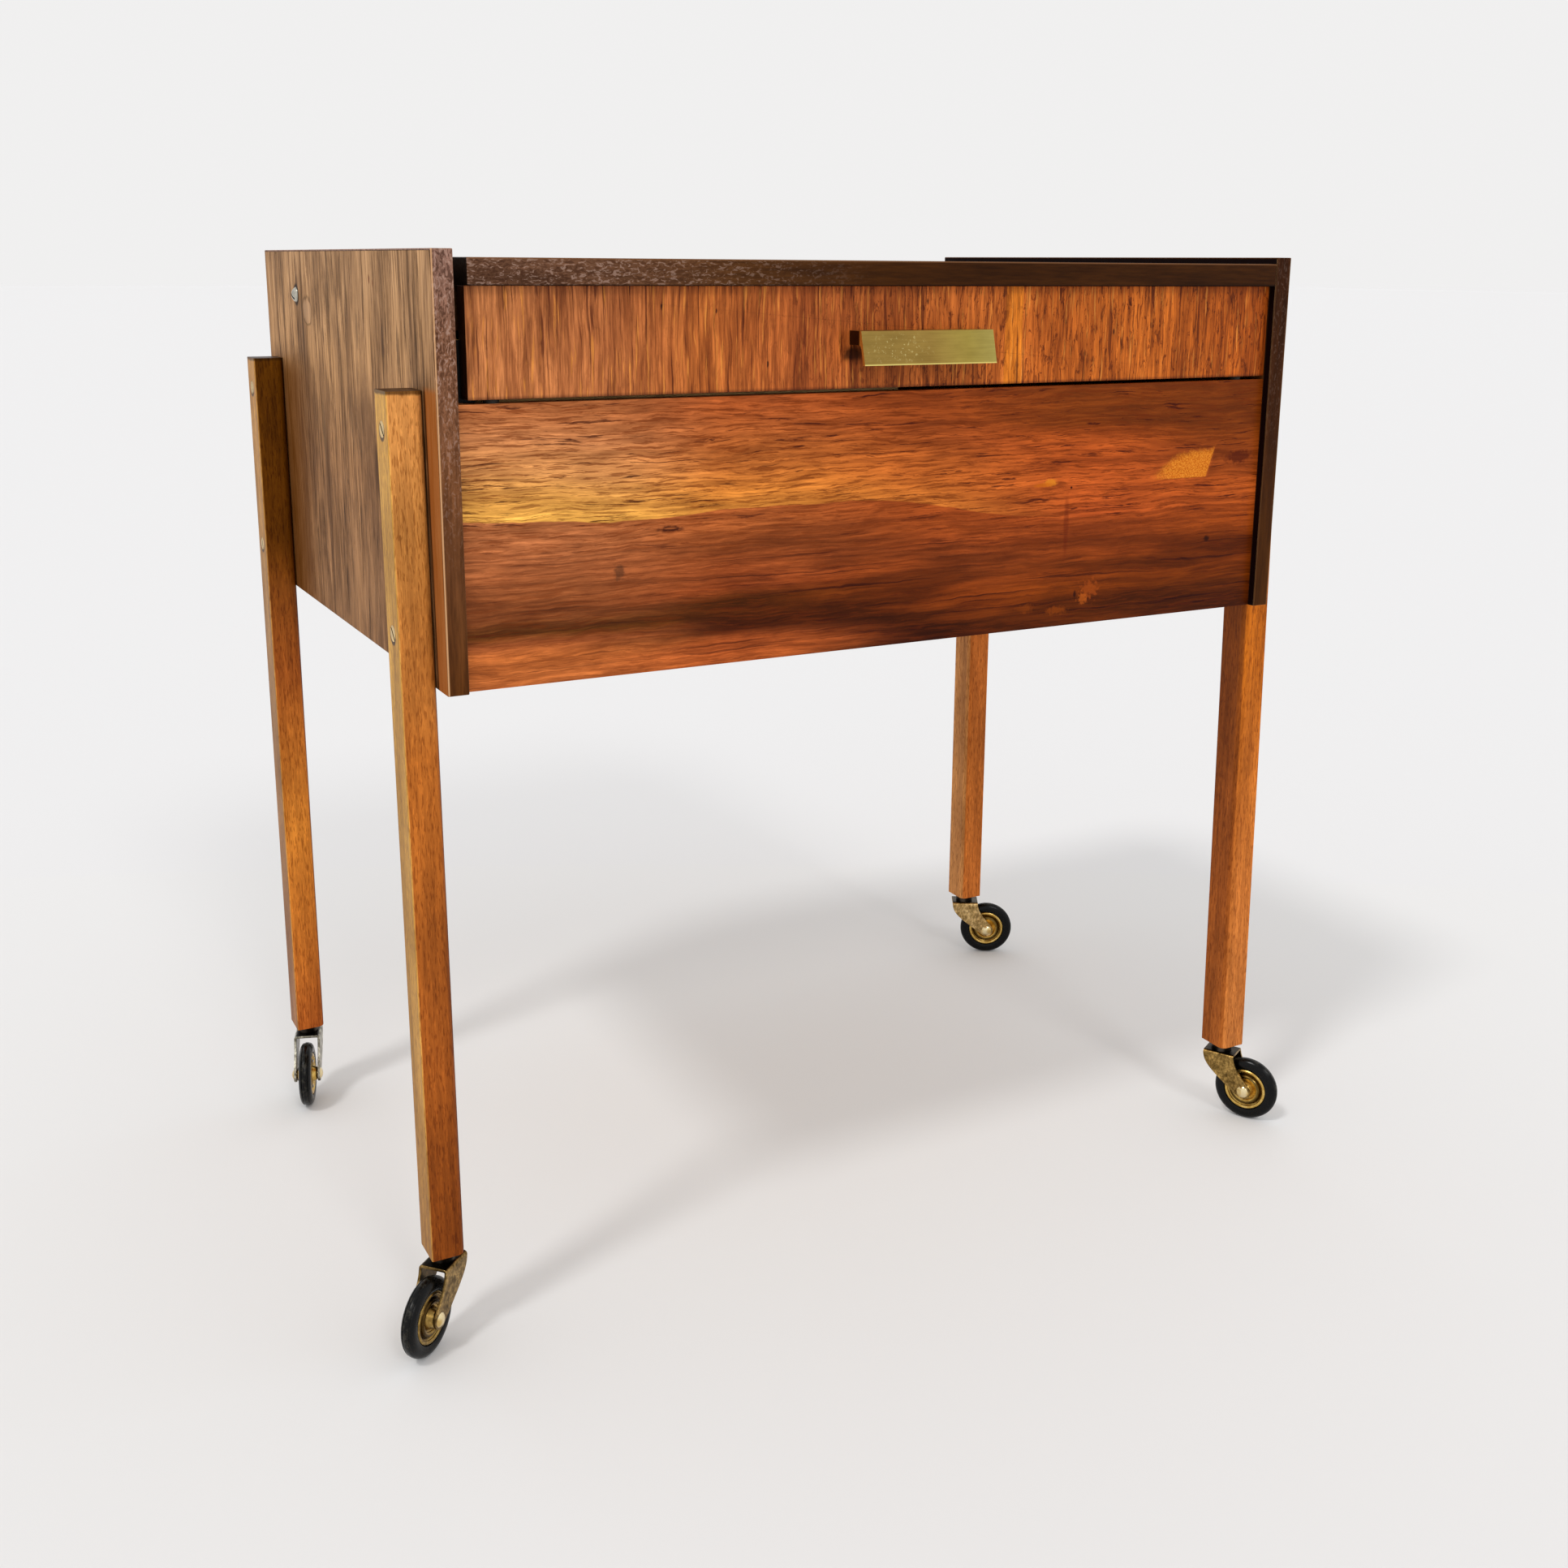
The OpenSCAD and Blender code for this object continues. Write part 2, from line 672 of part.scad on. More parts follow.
// The axle, with a domed head outside each cheek
module axle(i) {
  dome_r = (axle_head_r ^ 2 + axle_head_h ^ 2) / (2 * axle_head_h);
  color(brass) at_caster(i) translate([trail, 0, wheel_r]) {
    rotate([90, 0, 0]) translate([0, 0, -fork_w / 2 - eps]) cylinder(r = axle_r, h = fork_w + 2 * eps);
    for (s = [-1, 1]) rotate([s * 90, 0, 0]) translate([0, 0, fork_w / 2]) intersection() {
      translate([0, 0, axle_head_h - dome_r]) sphere(r = dome_r);
      cylinder(r = axle_head_r + 1, h = axle_head_h + 1);
    }
  }
}

// Turns a profile of radius and half-width round a wheel's axle
module on_axle(i) {
  at_caster(i) translate([trail, 0, wheel_r]) rotate([90, 0, 0]) rotate_extrude($fn = 96) children();
}

// One face of the hub, from the bore outwards: a boss, a dish, a bead, a groove and the rim
hub_face = concat(
  [[axle_r + axle_play, hub_half_w], [4.2, hub_half_w], [4.9, hub_half_w - 0.8], [6.6, 2.4]],
  arc([9, 2.6], 1.5, 170, 10, 7),
  [[11, 2]],
  arc([rim_r - 1.5, rim_half_w - 1.3], 1.3, 170, 20, 7),
  [[rim_r, rim_half_w - 1.2]]
);

// A pressed hub with a channel for the tyre
module hub(i) {
  mirrored = [for (k = [len(hub_face) - 1:-1:0]) [hub_face[k].x, -hub_face[k].y]];
  color(brass) on_axle(i) difference() {
    polygon(concat(hub_face, mirrored));
    translate([rim_channel_r, -channel_half_w]) square([rim_r, 2 * channel_half_w]);
  }
}

// A solid tyre with a rounded tread and a groove near each shoulder
module tyre(i) {
  half = tyre_w / 2;
  gap = 0.05;
  tread = curve([rim_r + gap, half - 0.5], [rim_r + 2.6, half + 0.5], [wheel_r - 1.6, half - 0.1],
                [wheel_r - 0.5, 2.3], 9);
  crown = curve([wheel_r - 0.55, 1.7], [wheel_r - 0.05, 1.2], [wheel_r, 0.6], [wheel_r, 0], 5);
  root = [[rim_channel_r + gap, channel_half_w - gap], [rim_r + gap, channel_half_w - gap]];
  face = concat(root, tread, [[wheel_r - 0.8, 2]], crown);
  mirrored = [for (k = [len(face) - 2:-1:0]) [face[k].x, -face[k].y]];
  color(rubber) on_axle(i) polygon(concat(face, mirrored));
}

module fork_front_left() { fork(0); }
module fork_rear_left() { fork(1); }
module fork_front_right() { fork(2); }
module fork_rear_right() { fork(3); }
module axle_front_left() { axle(0); }
module axle_rear_left() { axle(1); }
module axle_front_right() { axle(2); }
module axle_rear_right() { axle(3); }
module hub_front_left() { hub(0); }
module hub_rear_left() { hub(1); }
module hub_front_right() { hub(2); }
module hub_rear_right() { hub(3); }
module tyre_front_left() { tyre(0); }
module tyre_rear_left() { tyre(1); }
module tyre_front_right() { tyre(2); }
module tyre_rear_right() { tyre(3); }

side_left();
side_right();
side_left_edging();
side_right_edging();
lower_front();
back_panel();
bottom_panel();
tray_partition();
runner_upper_front();
runner_upper_rear();
runner_lower_front();
runner_lower_rear();
lid_bumpers();
lid_panel();
lid_edging();
upper_front();
lid_batten_left();
lid_batten_right();
batten_screws();
handle();
handle_screws();
pivot_screw_left();
pivot_screw_right();
pivot_spacer_left();
pivot_spacer_right();
upper_tray_front();
upper_tray_back();
upper_tray_left();
upper_tray_right();
upper_tray_floor();
upper_tray_dividers();
lower_tray_front();
lower_tray_back();
lower_tray_left();
lower_tray_right();
lower_tray_floor();
lower_tray_divider();
spool_pegs();
leg_front_left();
leg_rear_left();
leg_front_right();
leg_rear_right();
leg_screws();
caster_stems();
fork_front_left();
axle_front_left();
hub_front_left();
tyre_front_left();
fork_rear_left();
axle_rear_left();
hub_rear_left();
tyre_rear_left();
fork_front_right();
axle_front_right();
hub_front_right();
tyre_front_right();
fork_rear_right();
axle_rear_right();
hub_rear_right();
tyre_rear_right();
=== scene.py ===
"""The looks of a walnut sewing box on slim legs with casters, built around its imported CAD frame.

Every length is in metres, +Z is up, +Y runs from the front with the pull to the back, and +X is
to the right seen from the front.
"""

import json
import math

import bpy
from mathutils import Matrix, Vector


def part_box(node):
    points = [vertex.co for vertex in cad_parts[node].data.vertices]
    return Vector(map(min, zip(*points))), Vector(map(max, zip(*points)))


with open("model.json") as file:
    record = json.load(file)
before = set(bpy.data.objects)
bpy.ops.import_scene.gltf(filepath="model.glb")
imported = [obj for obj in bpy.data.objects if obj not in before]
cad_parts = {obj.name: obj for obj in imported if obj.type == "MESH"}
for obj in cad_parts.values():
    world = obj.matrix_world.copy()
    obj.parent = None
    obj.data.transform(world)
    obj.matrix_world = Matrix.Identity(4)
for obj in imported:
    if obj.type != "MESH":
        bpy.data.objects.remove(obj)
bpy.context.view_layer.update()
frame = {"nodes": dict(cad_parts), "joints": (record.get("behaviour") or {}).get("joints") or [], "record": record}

nodes = frame["nodes"]
parts = frame["record"]["subparts"]
joints = {joint["name"]: joint for joint in frame["joints"]}
CORNERS = ["front_left", "rear_left", "front_right", "rear_right"]
MM = 0.001


# Camera ---------------------------------------------------------------------------------------

CAMERA_AT = Vector((-0.51917, -1.00577, 0.59025))
CAMERA_YAW = 0.498
CAMERA_PITCH = 0.236
CAMERA_ROLL = 0.008
SENSOR_WIDTH = 36  # Millimetres, as is the lens
LENS = 39.294
LENS_SHIFT = (-0.01157, -0.06958)


def make_camera():
    """A camera level with the cart's top, in front of its left corner, looking slightly down."""
    data = bpy.data.cameras.new("camera")
    data.sensor_width = SENSOR_WIDTH
    data.lens = LENS
    data.shift_x, data.shift_y = LENS_SHIFT
    data.clip_start = 0.05
    data.clip_end = 100
    camera = bpy.data.objects.new("camera", data)
    bpy.context.scene.collection.objects.link(camera)
    ahead = Vector((
        math.sin(CAMERA_YAW) * math.cos(CAMERA_PITCH),
        math.cos(CAMERA_YAW) * math.cos(CAMERA_PITCH),
        -math.sin(CAMERA_PITCH),
    ))
    level = Vector((math.cos(CAMERA_YAW), -math.sin(CAMERA_YAW), 0))
    upright = level.cross(ahead)
    right = math.cos(CAMERA_ROLL) * level + math.sin(CAMERA_ROLL) * upright
    up = math.cos(CAMERA_ROLL) * upright - math.sin(CAMERA_ROLL) * level
    turn = Matrix((right, up, -ahead)).transposed()
    camera.matrix_world = Matrix.Translation(CAMERA_AT) @ turn.to_4x4()
    bpy.context.scene.camera = camera


make_camera()


# Material building blocks ---------------------------------------------------------------------

# The share of light that an upright white face in the scene sends back, and what gloss adds
LIT = 0.84
GLOSS = 0.010


def colour(code):
    """The linear colour of a surface that looks like the six-digit code in the scene's light."""
    values = [int(code[i:i + 2], 16) / 255 for i in (0, 2, 4)]
    linear = [v / 12.92 if v <= 0.04045 else ((v + 0.055) / 1.055) ** 2.4 for v in values]
    return [min(max(v - GLOSS, 0.001) / LIT, 1) for v in linear] + [1]


class Finish:
    """A material with a short call for each kind of node used here."""

    def __init__(self, name, **surface):
        self.material = bpy.data.materials.new(name)
        self.material.use_nodes = True
        self.tree = self.material.node_tree
        self.surface = self.tree.nodes["Principled BSDF"]
        self.coordinates = self.tree.nodes.new("ShaderNodeTexCoord")
        for socket, value in surface.items():
            self.surface.inputs[socket.replace("_", " ")].default_value = value

    def node(self, kind, inputs=(), **settings):
        """Adds a node. Inputs are (socket, value or output) pairs."""
        made = self.tree.nodes.new("ShaderNode" + kind)
        for key, value in settings.items():
            setattr(made, key, value)
        for socket, value in inputs:
            self.feed(made.inputs[socket], value)
        return made

    def feed(self, socket, value):
        """Links an output to a socket, or sets the socket's own value."""
        if isinstance(value, bpy.types.NodeSocket):
            self.tree.links.new(value, socket)
        else:
            socket.default_value = value

    def place(self, scale=(1, 1, 1), shift=(0, 0, 0), point=None):
        """A point, or the point on the object, scaled and then shifted."""
        made = self.node("Mapping", [
            ("Vector", point or self.coordinates.outputs["Object"]),
            ("Scale", scale), ("Location", shift),
        ])
        return made.outputs[0]

    def ripple(self, axis, waves):
        """The point on the object, moved along an axis by noises: (scale, height) pairs."""
        point = self.coordinates.outputs["Object"]
        for seed, (scale, height) in enumerate(waves):
            uneven = self.noise(self.place(scale, (seed * 3.1, 0, seed)), 2)
            swing = self.times(self.minus(uneven, 0.5), height)
            step = self.node("CombineXYZ", [("XYZ".index(axis), swing)])
            point = self.vector_calc("ADD", point, step.outputs[0])
        return point

    def axes(self, vector=None):
        """X, Y and Z of a vector, or of the point on the object."""
        made = self.node("SeparateXYZ", [(0, vector or self.coordinates.outputs["Object"])])
        return made.outputs

    def facing(self):
        """X, Y and Z of the direction that the surface faces."""
        return self.axes(self.coordinates.outputs["Normal"])

    def noise(self, vector, detail=2.0, roughness=0.5, distortion=0.0):
        """A cloudy value of about 0.3 to 0.7."""
        made = self.node("TexNoise", [
            ("Vector", vector), ("Scale", 1.0), ("Detail", detail),
            ("Roughness", roughness), ("Distortion", distortion),
        ])
        return made.outputs[0]

    def calc(self, operation, a, b=0.0, c=0.0):
        inputs = [(0, a), (1, b), (2, c)]
        return self.node("Math", inputs, operation=operation).outputs[0]

    def times(self, a, b):
        return self.calc("MULTIPLY", a, b)

    def minus(self, a, b):
        return self.calc("SUBTRACT", a, b)

    def vector_calc(self, operation, a, b=(0, 0, 0)):
        made = self.node("VectorMath", [(0, a), (1, b)], operation=operation)
        return made.outputs["Value" if operation in ("DOT_PRODUCT", "LENGTH") else "Vector"]

    def remap(self, value, low, high, to_low=0.0, to_high=1.0, smooth=True):
        """Carries low..high over to to_low..to_high, and holds it there outside."""
        made = self.node("MapRange", [
            (0, value), (1, low), (2, high), (3, to_low), (4, to_high),
        ], interpolation_type="SMOOTHSTEP" if smooth else "LINEAR")
        return made.outputs[0]

    def ramp(self, value, stops):
        """A colour that runs through (place, colour code) stops."""
        made = self.node("ValToRGB", [(0, value)])
        elements = made.color_ramp.elements
        while len(elements) < len(stops):
            elements.new(0.5)
        for element, (place, code) in zip(elements, stops):
            element.position = place
            element.color = colour(code)
        return made.outputs[0]

    def blend(self, factor, a, b):
        """Colour a, going to b as the factor goes from 0 to 1."""
        a = colour(a) if isinstance(a, str) else a
        b = colour(b) if isinstance(b, str) else b
        made = self.node("Mix", data_type="RGBA")
        self.feed(made.inputs["Factor"], factor)
        self.feed(made.inputs[6], a)
        self.feed(made.inputs[7], b)
        return made.outputs[2]

    def shade(self, paint, factor, low, high):
        """A colour times a red, green and blue factor that goes from low to high."""
        made = self.node("Mix", data_type="VECTOR")
        self.feed(made.inputs["Factor"], factor)
        self.feed(made.inputs[4], low)
        self.feed(made.inputs[5], high)
        return self.vector_calc("MULTIPLY", paint, made.outputs[1])

    def wear(self, start=0.985, full=0.86):
        """1 on rounded edges and corners, 0 on flat faces square to the axes."""
        x, y, z = (self.calc("ABSOLUTE", n) for n in self.facing())
        flat = self.calc("MAXIMUM", self.calc("MAXIMUM", x, y), z)
        return self.remap(flat, start, full)

    def spot(self, centre, size, ragged=0.0, fineness=200):
        """1 at a soft oval's middle and 0 outside it. Size is its half axes along X, Y and Z."""
        scale = [1 / s for s in size]
        shift = [-c / s for c, s in zip(centre, size)]
        reach = self.vector_calc("LENGTH", self.place(scale, shift))
        if ragged:
            uneven = self.noise(self.place([fineness] * 3), 3)
            reach = self.calc("MULTIPLY_ADD", self.minus(uneven, 0.5), ragged, reach)
        return self.remap(reach, 1.0, 0.35)

    def bump(self, height, depth, strength=1.0):
        """Adds relief of the given depth to the surface, over any relief already there."""
        socket = self.surface.inputs["Normal"]
        made = self.node("Bump", [("Height", height), ("Distance", depth), ("Strength", strength)])
        if socket.is_linked:
            self.tree.links.new(socket.links[0].from_socket, made.inputs["Normal"])
        self.tree.links.new(made.outputs[0], socket)

    def stain(self, paint, mask, depth, tone):
        """A colour that goes part of the way to a tone where the mask is 1."""
        return self.blend(self.times(mask, depth), paint, tone)

    def paint(self, paint, roughness):
        """Puts the colour and the roughness on the surface, and returns the material."""
        self.feed(self.surface.inputs["Base Color"], paint)
        self.feed(self.surface.inputs["Roughness"], roughness)
        return self.material


def along_grain(axis, fineness, stretch):
    """The scale of a pattern with this many marks a metre, drawn out along the grain."""
    scale = [fineness] * 3
    scale["XYZ".index(axis)] = fineness / stretch
    return scale


def grain(finish, axis, fineness, stretch, seed=0.0, detail=2.0, roughness=0.5, distortion=0.0,
          point=None):
    """Noise drawn out along the grain."""
    shift = (seed, seed * 1.7, seed * 0.6)
    vector = finish.place(along_grain(axis, fineness, stretch), shift, point)
    return finish.noise(vector, detail, roughness, distortion)


def pores(finish, axis, seed, amount=0.62, fineness=1100, stretch=14):
    """Short dark dashes along the grain: 1 in a pore."""
    dashes = grain(finish, axis, fineness, stretch, seed, 1.5, 0.4)
    return finish.remap(dashes, amount, amount + 0.07)


# Woods ----------------------------------------------------------------------------------------

SIDE_SPOT_DEPTH = 4 * MM  # How far a spot reaches into a side board, well within its thickness
FRONT_SPOT_DEPTH = 20 * MM  # The same for the fronts, which show on one side only


def side_veneer(name, seed):
    """Greyish walnut veneer with upright grain, a little dry and uneven."""
    f = Finish("veneer_" + name, Specular_IOR_Level=0.04)
    low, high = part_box(name)
    x, y, z = f.axes()
    paint = f.ramp(f.remap(z, low.z, high.z, smooth=False), [
        (0, "825F42"), (0.45, "825E40"), (0.75, "9A7450"), (1, "A07B58"),
    ])
    point = f.ripple("Y", [((20, 30, 9), 9 * MM), ((60, 160, 30), 1.6 * MM)])
    figure = grain(f, "Z", 36, 3.2, seed, 6, 0.68, 0.5, point)
    paint = f.shade(paint, f.remap(figure, 0.36, 0.64), (0.62, 0.58, 0.54), (1.32, 1.34, 1.34))
    patch = f.remap(f.noise(f.place((30, 46, 16), (seed, 0, 3)), 3, 0.6), 0.40, 0.60)
    streak = grain(f, "Z", 380, 22, seed + 4, 5, 0.70, 0.3, point)
    streaked = f.shade(paint, f.remap(streak, 0.42, 0.60), (1.22, 1.24, 1.26), (0.62, 0.58, 0.52))
    paint = f.blend(f.remap(patch, 0, 1, 0.35, 1.0), paint, streaked)
    split = grain(f, "Z", 240, 16, seed + 9, 5, 0.70, 0.5, point)
    paint = f.shade(paint, f.remap(split, 0.575, 0.605), (1, 1, 1), (0.42, 0.38, 0.32))
    thread = grain(f, "Z", 210, 34, seed + 21, 4, 0.66, 0.2, point)
    paint = f.shade(paint, f.remap(thread, 0.585, 0.605), (1, 1, 1), (0.50, 0.46, 0.40))
    pale = grain(f, "Z", 520, 20, seed + 13, 4, 0.6, 0.4, point)
    paint = f.shade(paint, f.remap(pale, 0.52, 0.62), (1, 1, 1), (1.22, 1.24, 1.28))
    paint = side_marks(f, paint, low.x if low.x < 0 else high.x)
    inward = f.remap(f.times(f.facing()[0], f.calc("SIGN", x)), -0.2, -0.5)
    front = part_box("lower_front")[0].y
    lid_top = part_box("lid_panel")[1].z
    before_front = f.remap(y, front + 2 * MM, front - 0.5 * MM)
    over_lid = f.remap(z, lid_top - 1 * MM, lid_top + 0.5 * MM)
    # Painted shade on the inner faces: all a little darker, and near black just before the fronts and above the
    # lid.
    paint = f.stain(paint, inward, 0.6, "7C4624")
    paint = f.stain(paint, inward, f.calc("MAXIMUM", before_front, over_lid), "20100A")
    paint = f.blend(f.remap(f.facing()[2], 0.5, 0.8), paint, "40301F")
    f.bump(streak, 0.25 * MM, -0.6)
    f.bump(split, 0.2 * MM, -0.5)
    return f.paint(paint, f.remap(pale, 0.3, 0.7, 0.60, 0.50))


# Streaks and smudges of the left board, in millimetres: (behind its front edge, below its top),
# (half depth, half height), tone, strength
SIDE_MARKS = [
    ((206, 18), (1.8, 24), "4C3622", 0.65),
    ((198.5, 15), (1.6, 15), "4C3622", 0.5),
    ((214, 23), (1.6, 19), "4C3622", 0.5),
    ((191, 21), (1.5, 16), "523C28", 0.45),
    ((92.5, 47), (4.2, 15), "50392A", 0.6),
    ((64.5, 50), (2.6, 19), "483424", 0.65),
    ((146, 42), (3.4, 17), "5C4632", 0.45),
    ((115, 15), (1.8, 3.6), "5A2C16", 0.8),
    ((107.5, 17), (1.4, 2.8), "5A2C16", 0.7),
    ((331, 31), (6, 27), "5C4430", 0.5),
    ((168, 90), (2.4, 22), "54402C", 0.45),
    ((237, 105), (5, 26), "50402E", 0.4),
]


def side_marks(f, paint, outer):
    """Marks on a side board's outer face, which lies at X = outer: a dark ring round the screw that is
    painted contact shadow with some grime, painted reflection and shade by the legs, and on the left
    board marks of age: a repair, a crack, and dark streaks and smudges."""
    low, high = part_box("side_left")
    pivot_low, pivot_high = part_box("pivot_screw_left")
    pivot = (pivot_low + pivot_high) / 2
    if outer < 0:
        for (behind, below), (half_y, half_z), tone, depth in SIDE_MARKS:
            centre = (outer, low.y + behind * MM, high.z - below * MM)
            mark = f.spot(centre, (SIDE_SPOT_DEPTH, half_y * MM, half_z * MM), 0.8, 240)
            paint = f.stain(paint, mark, depth, tone)
        paint = pivot_marks(f, paint, outer, pivot)
    # Painted contact shadow with some grime: a dark ring round the pivot screw's head.
    screw_ring = f.spot((outer, pivot.y, pivot.z), (SIDE_SPOT_DEPTH, 8.5 * MM, 8.5 * MM))
    paint = f.stain(paint, f.remap(screw_ring, 0.0, 0.5), 0.85, "20150A")
    return leg_marks(f, paint)


def pivot_marks(f, paint, outer, pivot):
    """A pale round repair with a dark rim, and a crack, beside the left pivot screw."""
    place = (outer, pivot.y - 27 * MM, pivot.z - 9 * MM)
    repair = f.spot(place, (SIDE_SPOT_DEPTH, 15 * MM, 11 * MM), 0.5, 180)
    paint = f.stain(paint, repair, 0.45, "B49070")
    rim = f.times(f.remap(repair, 0.02, 0.25), f.remap(repair, 0.55, 0.3))
    paint = f.stain(paint, rim, 0.55, "523A22")
    place = (outer, pivot.y - 2 * MM, pivot.z + 7 * MM)
    crack = f.spot(place, (SIDE_SPOT_DEPTH, 1.8 * MM, 10 * MM), 0.5, 300)
    return f.stain(paint, crack, 0.9, "2A1A0C")


def leg_marks(f, paint):
    """A painted warm reflection of the leaning front leg on the side board before it, a line of
    painted contact shadow along that leg, and a wide warm painted shade before the rear leg."""
    x, y, z = f.axes()
    front_low, front_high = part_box("leg_front_left")
    rear_low, rear_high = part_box("leg_rear_left")
    lean = (front_high.y - front_low.y) - (rear_high.y - rear_low.y)
    rise = f.remap(z, front_low.z, front_high.z, smooth=False)
    leg_front = f.calc("MULTIPLY_ADD", rise, lean, front_low.y)
    ahead = f.minus(leg_front, y)
    # Painted reflection of the front leg: a warm orange-brown on the board just before it, beside the leg.
    beside_leg = f.remap(z, front_high.z + 3 * MM, front_high.z - 1 * MM)
    outward = f.remap(f.times(f.facing()[0], f.calc("SIGN", x)), 0.4, 0.7)
    before_leg = f.times(f.times(beside_leg, f.remap(ahead, -1 * MM, 1 * MM)), outward)
    paint = f.stain(paint, before_leg, 0.75, "96572A")
    # Painted contact shadow: a dark line along the front leg's edge.
    painted_shade = f.times(before_leg, f.remap(ahead, 3.2 * MM, 1.2 * MM))
    paint = f.stain(paint, painted_shade, 0.9, "1C0E06")
    # Painted shade: a wide, ragged warm darkening of the board before the rear leg.
    before_rear = f.minus(rear_low.y, y)
    uneven = f.noise(f.place((30, 30, 12), (4, 0, 0)), 3, 0.6)
    reach = f.calc("MULTIPLY_ADD", uneven, 40 * MM, before_rear)
    below_top = f.remap(z, rear_high.z + 12 * MM, rear_high.z - 12 * MM)
    painted_leg_shade = f.times(f.remap(reach, 112 * MM, 42 * MM), below_top)
    return f.stain(paint, f.times(painted_leg_shade, outward), 0.75, "5C371B")


# Pin-like flecks of the upper front, in millimetres: (from its left end, above its foot), length
FLECKS = [
    ((104.8, 45.3), 2.6), ((136.3, 42.6), 1.8), ((166.7, 14.3), 3.0),
    ((203.1, 57), 2.0), ((267.5, 47), 2.2), ((399.5, 29), 2.6),
]


def upper_front_veneer():
    """Reddish veneer with upright grain, with stronger dark streaks towards the right."""
    f = Finish("upper_front_veneer", Specular_IOR_Level=0.10)
    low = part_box("upper_front")[0]
    x, y, z = f.axes()
    paint = f.ramp(f.remap(x, -260 * MM, 260 * MM, smooth=False), [
        (0.02, "A46742"), (0.15, "A0603C"), (0.25, "A05A30"), (0.37, "98522E"), (0.5, "A85C30"),
        (0.69, "A65828"), (0.83, "A85A28"), (1, "984C22"),
    ])
    point = f.ripple("X", [((40, 30, 14), 4 * MM), ((120, 30, 60), 1.2 * MM)])
    figure = grain(f, "Z", 60, 12, 3.0, 5, 0.62, 0.2, point)
    figure_share = f.remap(figure, 0.34, 0.66, smooth=False)
    paint = f.shade(paint, figure_share, (0.70, 0.64, 0.58), (1.30, 1.34, 1.30))
    stripe_left, stripe_right, soft = low.x + 320.1 * MM, low.x + 333.5 * MM, 1.2 * MM
    in_stripe = f.times(f.remap(x, stripe_left, stripe_left + soft),
                        f.remap(x, stripe_right, stripe_right - soft))
    paint = f.stain(paint, in_stripe, 0.62, "CC7828")
    to_right = f.remap(x, -160 * MM, 60 * MM)
    to_right = f.times(to_right, f.remap(in_stripe, 0, 1, 1, 0.45))
    streak = grain(f, "Z", 330, 16, 6.0, 4, 0.64, 0.3, point)
    paint = f.shade(paint, f.remap(streak, 0.36, 0.64), (1.26, 1.28, 1.22), (0.70, 0.62, 0.54))
    for fineness, stretch, offset, twist, least in [
        (320, 6, 8.5, 1.4, 0.565), (220, 4, 20.5, 2.4, 0.58),
    ]:
        figured = grain(f, "Z", fineness, stretch, offset, 4, 0.66, twist, point)
        figured = f.remap(figured, least, least + 0.045)
        here = f.times(figured, f.remap(to_right, 0, 1, 0.2, 0.9))
        paint = f.shade(paint, here, (1, 1, 1), (0.38, 0.30, 0.26))
    thread = grain(f, "Z", 430, 34, 10.5, 3, 0.6, 0.2, point)
    paint = f.blend(f.remap(thread, 0.575, 0.63, 0, 0.72), paint, "46200F")
    golden = grain(f, "Z", 620, 20, 14.5, 3, 0.6, 0.2, point)
    paint = f.blend(f.remap(golden, 0.58, 0.68, 0, 0.55), paint, "D68A40")
    fine = grain(f, "Z", 1300, 18, 1.0, 3, 0.5, 0.0, point)
    paint = f.shade(paint, f.remap(fine, 0.32, 0.68), (0.78, 0.76, 0.72), (1.24, 1.26, 1.26))
    for (from_left, above_foot), length in FLECKS:
        centre = (low.x + from_left * MM, low.y, low.z + above_foot * MM)
        fleck = f.spot(centre, (0.8 * MM, FRONT_SPOT_DEPTH, length * MM), 0.9, 900)
        paint = f.stain(paint, fleck, 0.85, "241008")
    # Painted shadow of the pull: a dark soft patch at the pull's left end.
    pull_low, pull_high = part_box("handle")
    pull_end = (pull_low.x + 2 * MM, low.y, pull_high.z - 13 * MM)
    painted_shade = f.spot(pull_end, (9 * MM, FRONT_SPOT_DEPTH, 7 * MM), 0.7, 200)
    paint = f.stain(paint, painted_shade, 0.85, "200E06")
    paint = f.stain(paint, f.remap(z, low.z + 2.2 * MM, low.z), 0.55, "30140A")
    # Painted shade: the board's end faces, which lie in the gaps beside the side boards, near black.
    on_end = f.remap(f.times(f.facing()[0], f.calc("SIGN", x)), 0.4, 0.8)
    paint = f.stain(paint, on_end, 0.9, "1E0E08")
    f.bump(streak, 0.10 * MM, -0.5)
    f.bump(thread, 0.12 * MM, -0.5)
    return f.paint(paint, f.remap(figure, 0.3, 0.7, 0.42, 0.34))


# The lower front's tones in columns from left to right: (X, tones), where the tones run from the
# line between golden and darker wood up to the top edge, or down to the bottom edge
ABOVE_LINE = [
    (-0.20, [(0, "DCA24E"), (0.2, "D6994E"), (0.45, "C28550"), (0.75, "B6764C"), (1, "AC6840")]),
    (-0.11, [(0, "BE7A38"), (0.19, "BC7234"), (0.42, "AE6432"), (0.75, "A25830"), (1, "9C502C")]),
    (0.01, [(0, "BE6E32"), (0.3, "BA642F"), (0.75, "984C28"), (1, "904624")]),
    (0.13, [(0, "9C4826"), (0.4, "B05429"), (0.75, "AC5228"), (0.92, "823E20"), (1, "743A1E")]),
    (0.24, [(0, "A24E26"), (0.3, "A65026"), (0.5, "984A25"), (0.8, "763A1E"), (1, "6C361D")]),
]
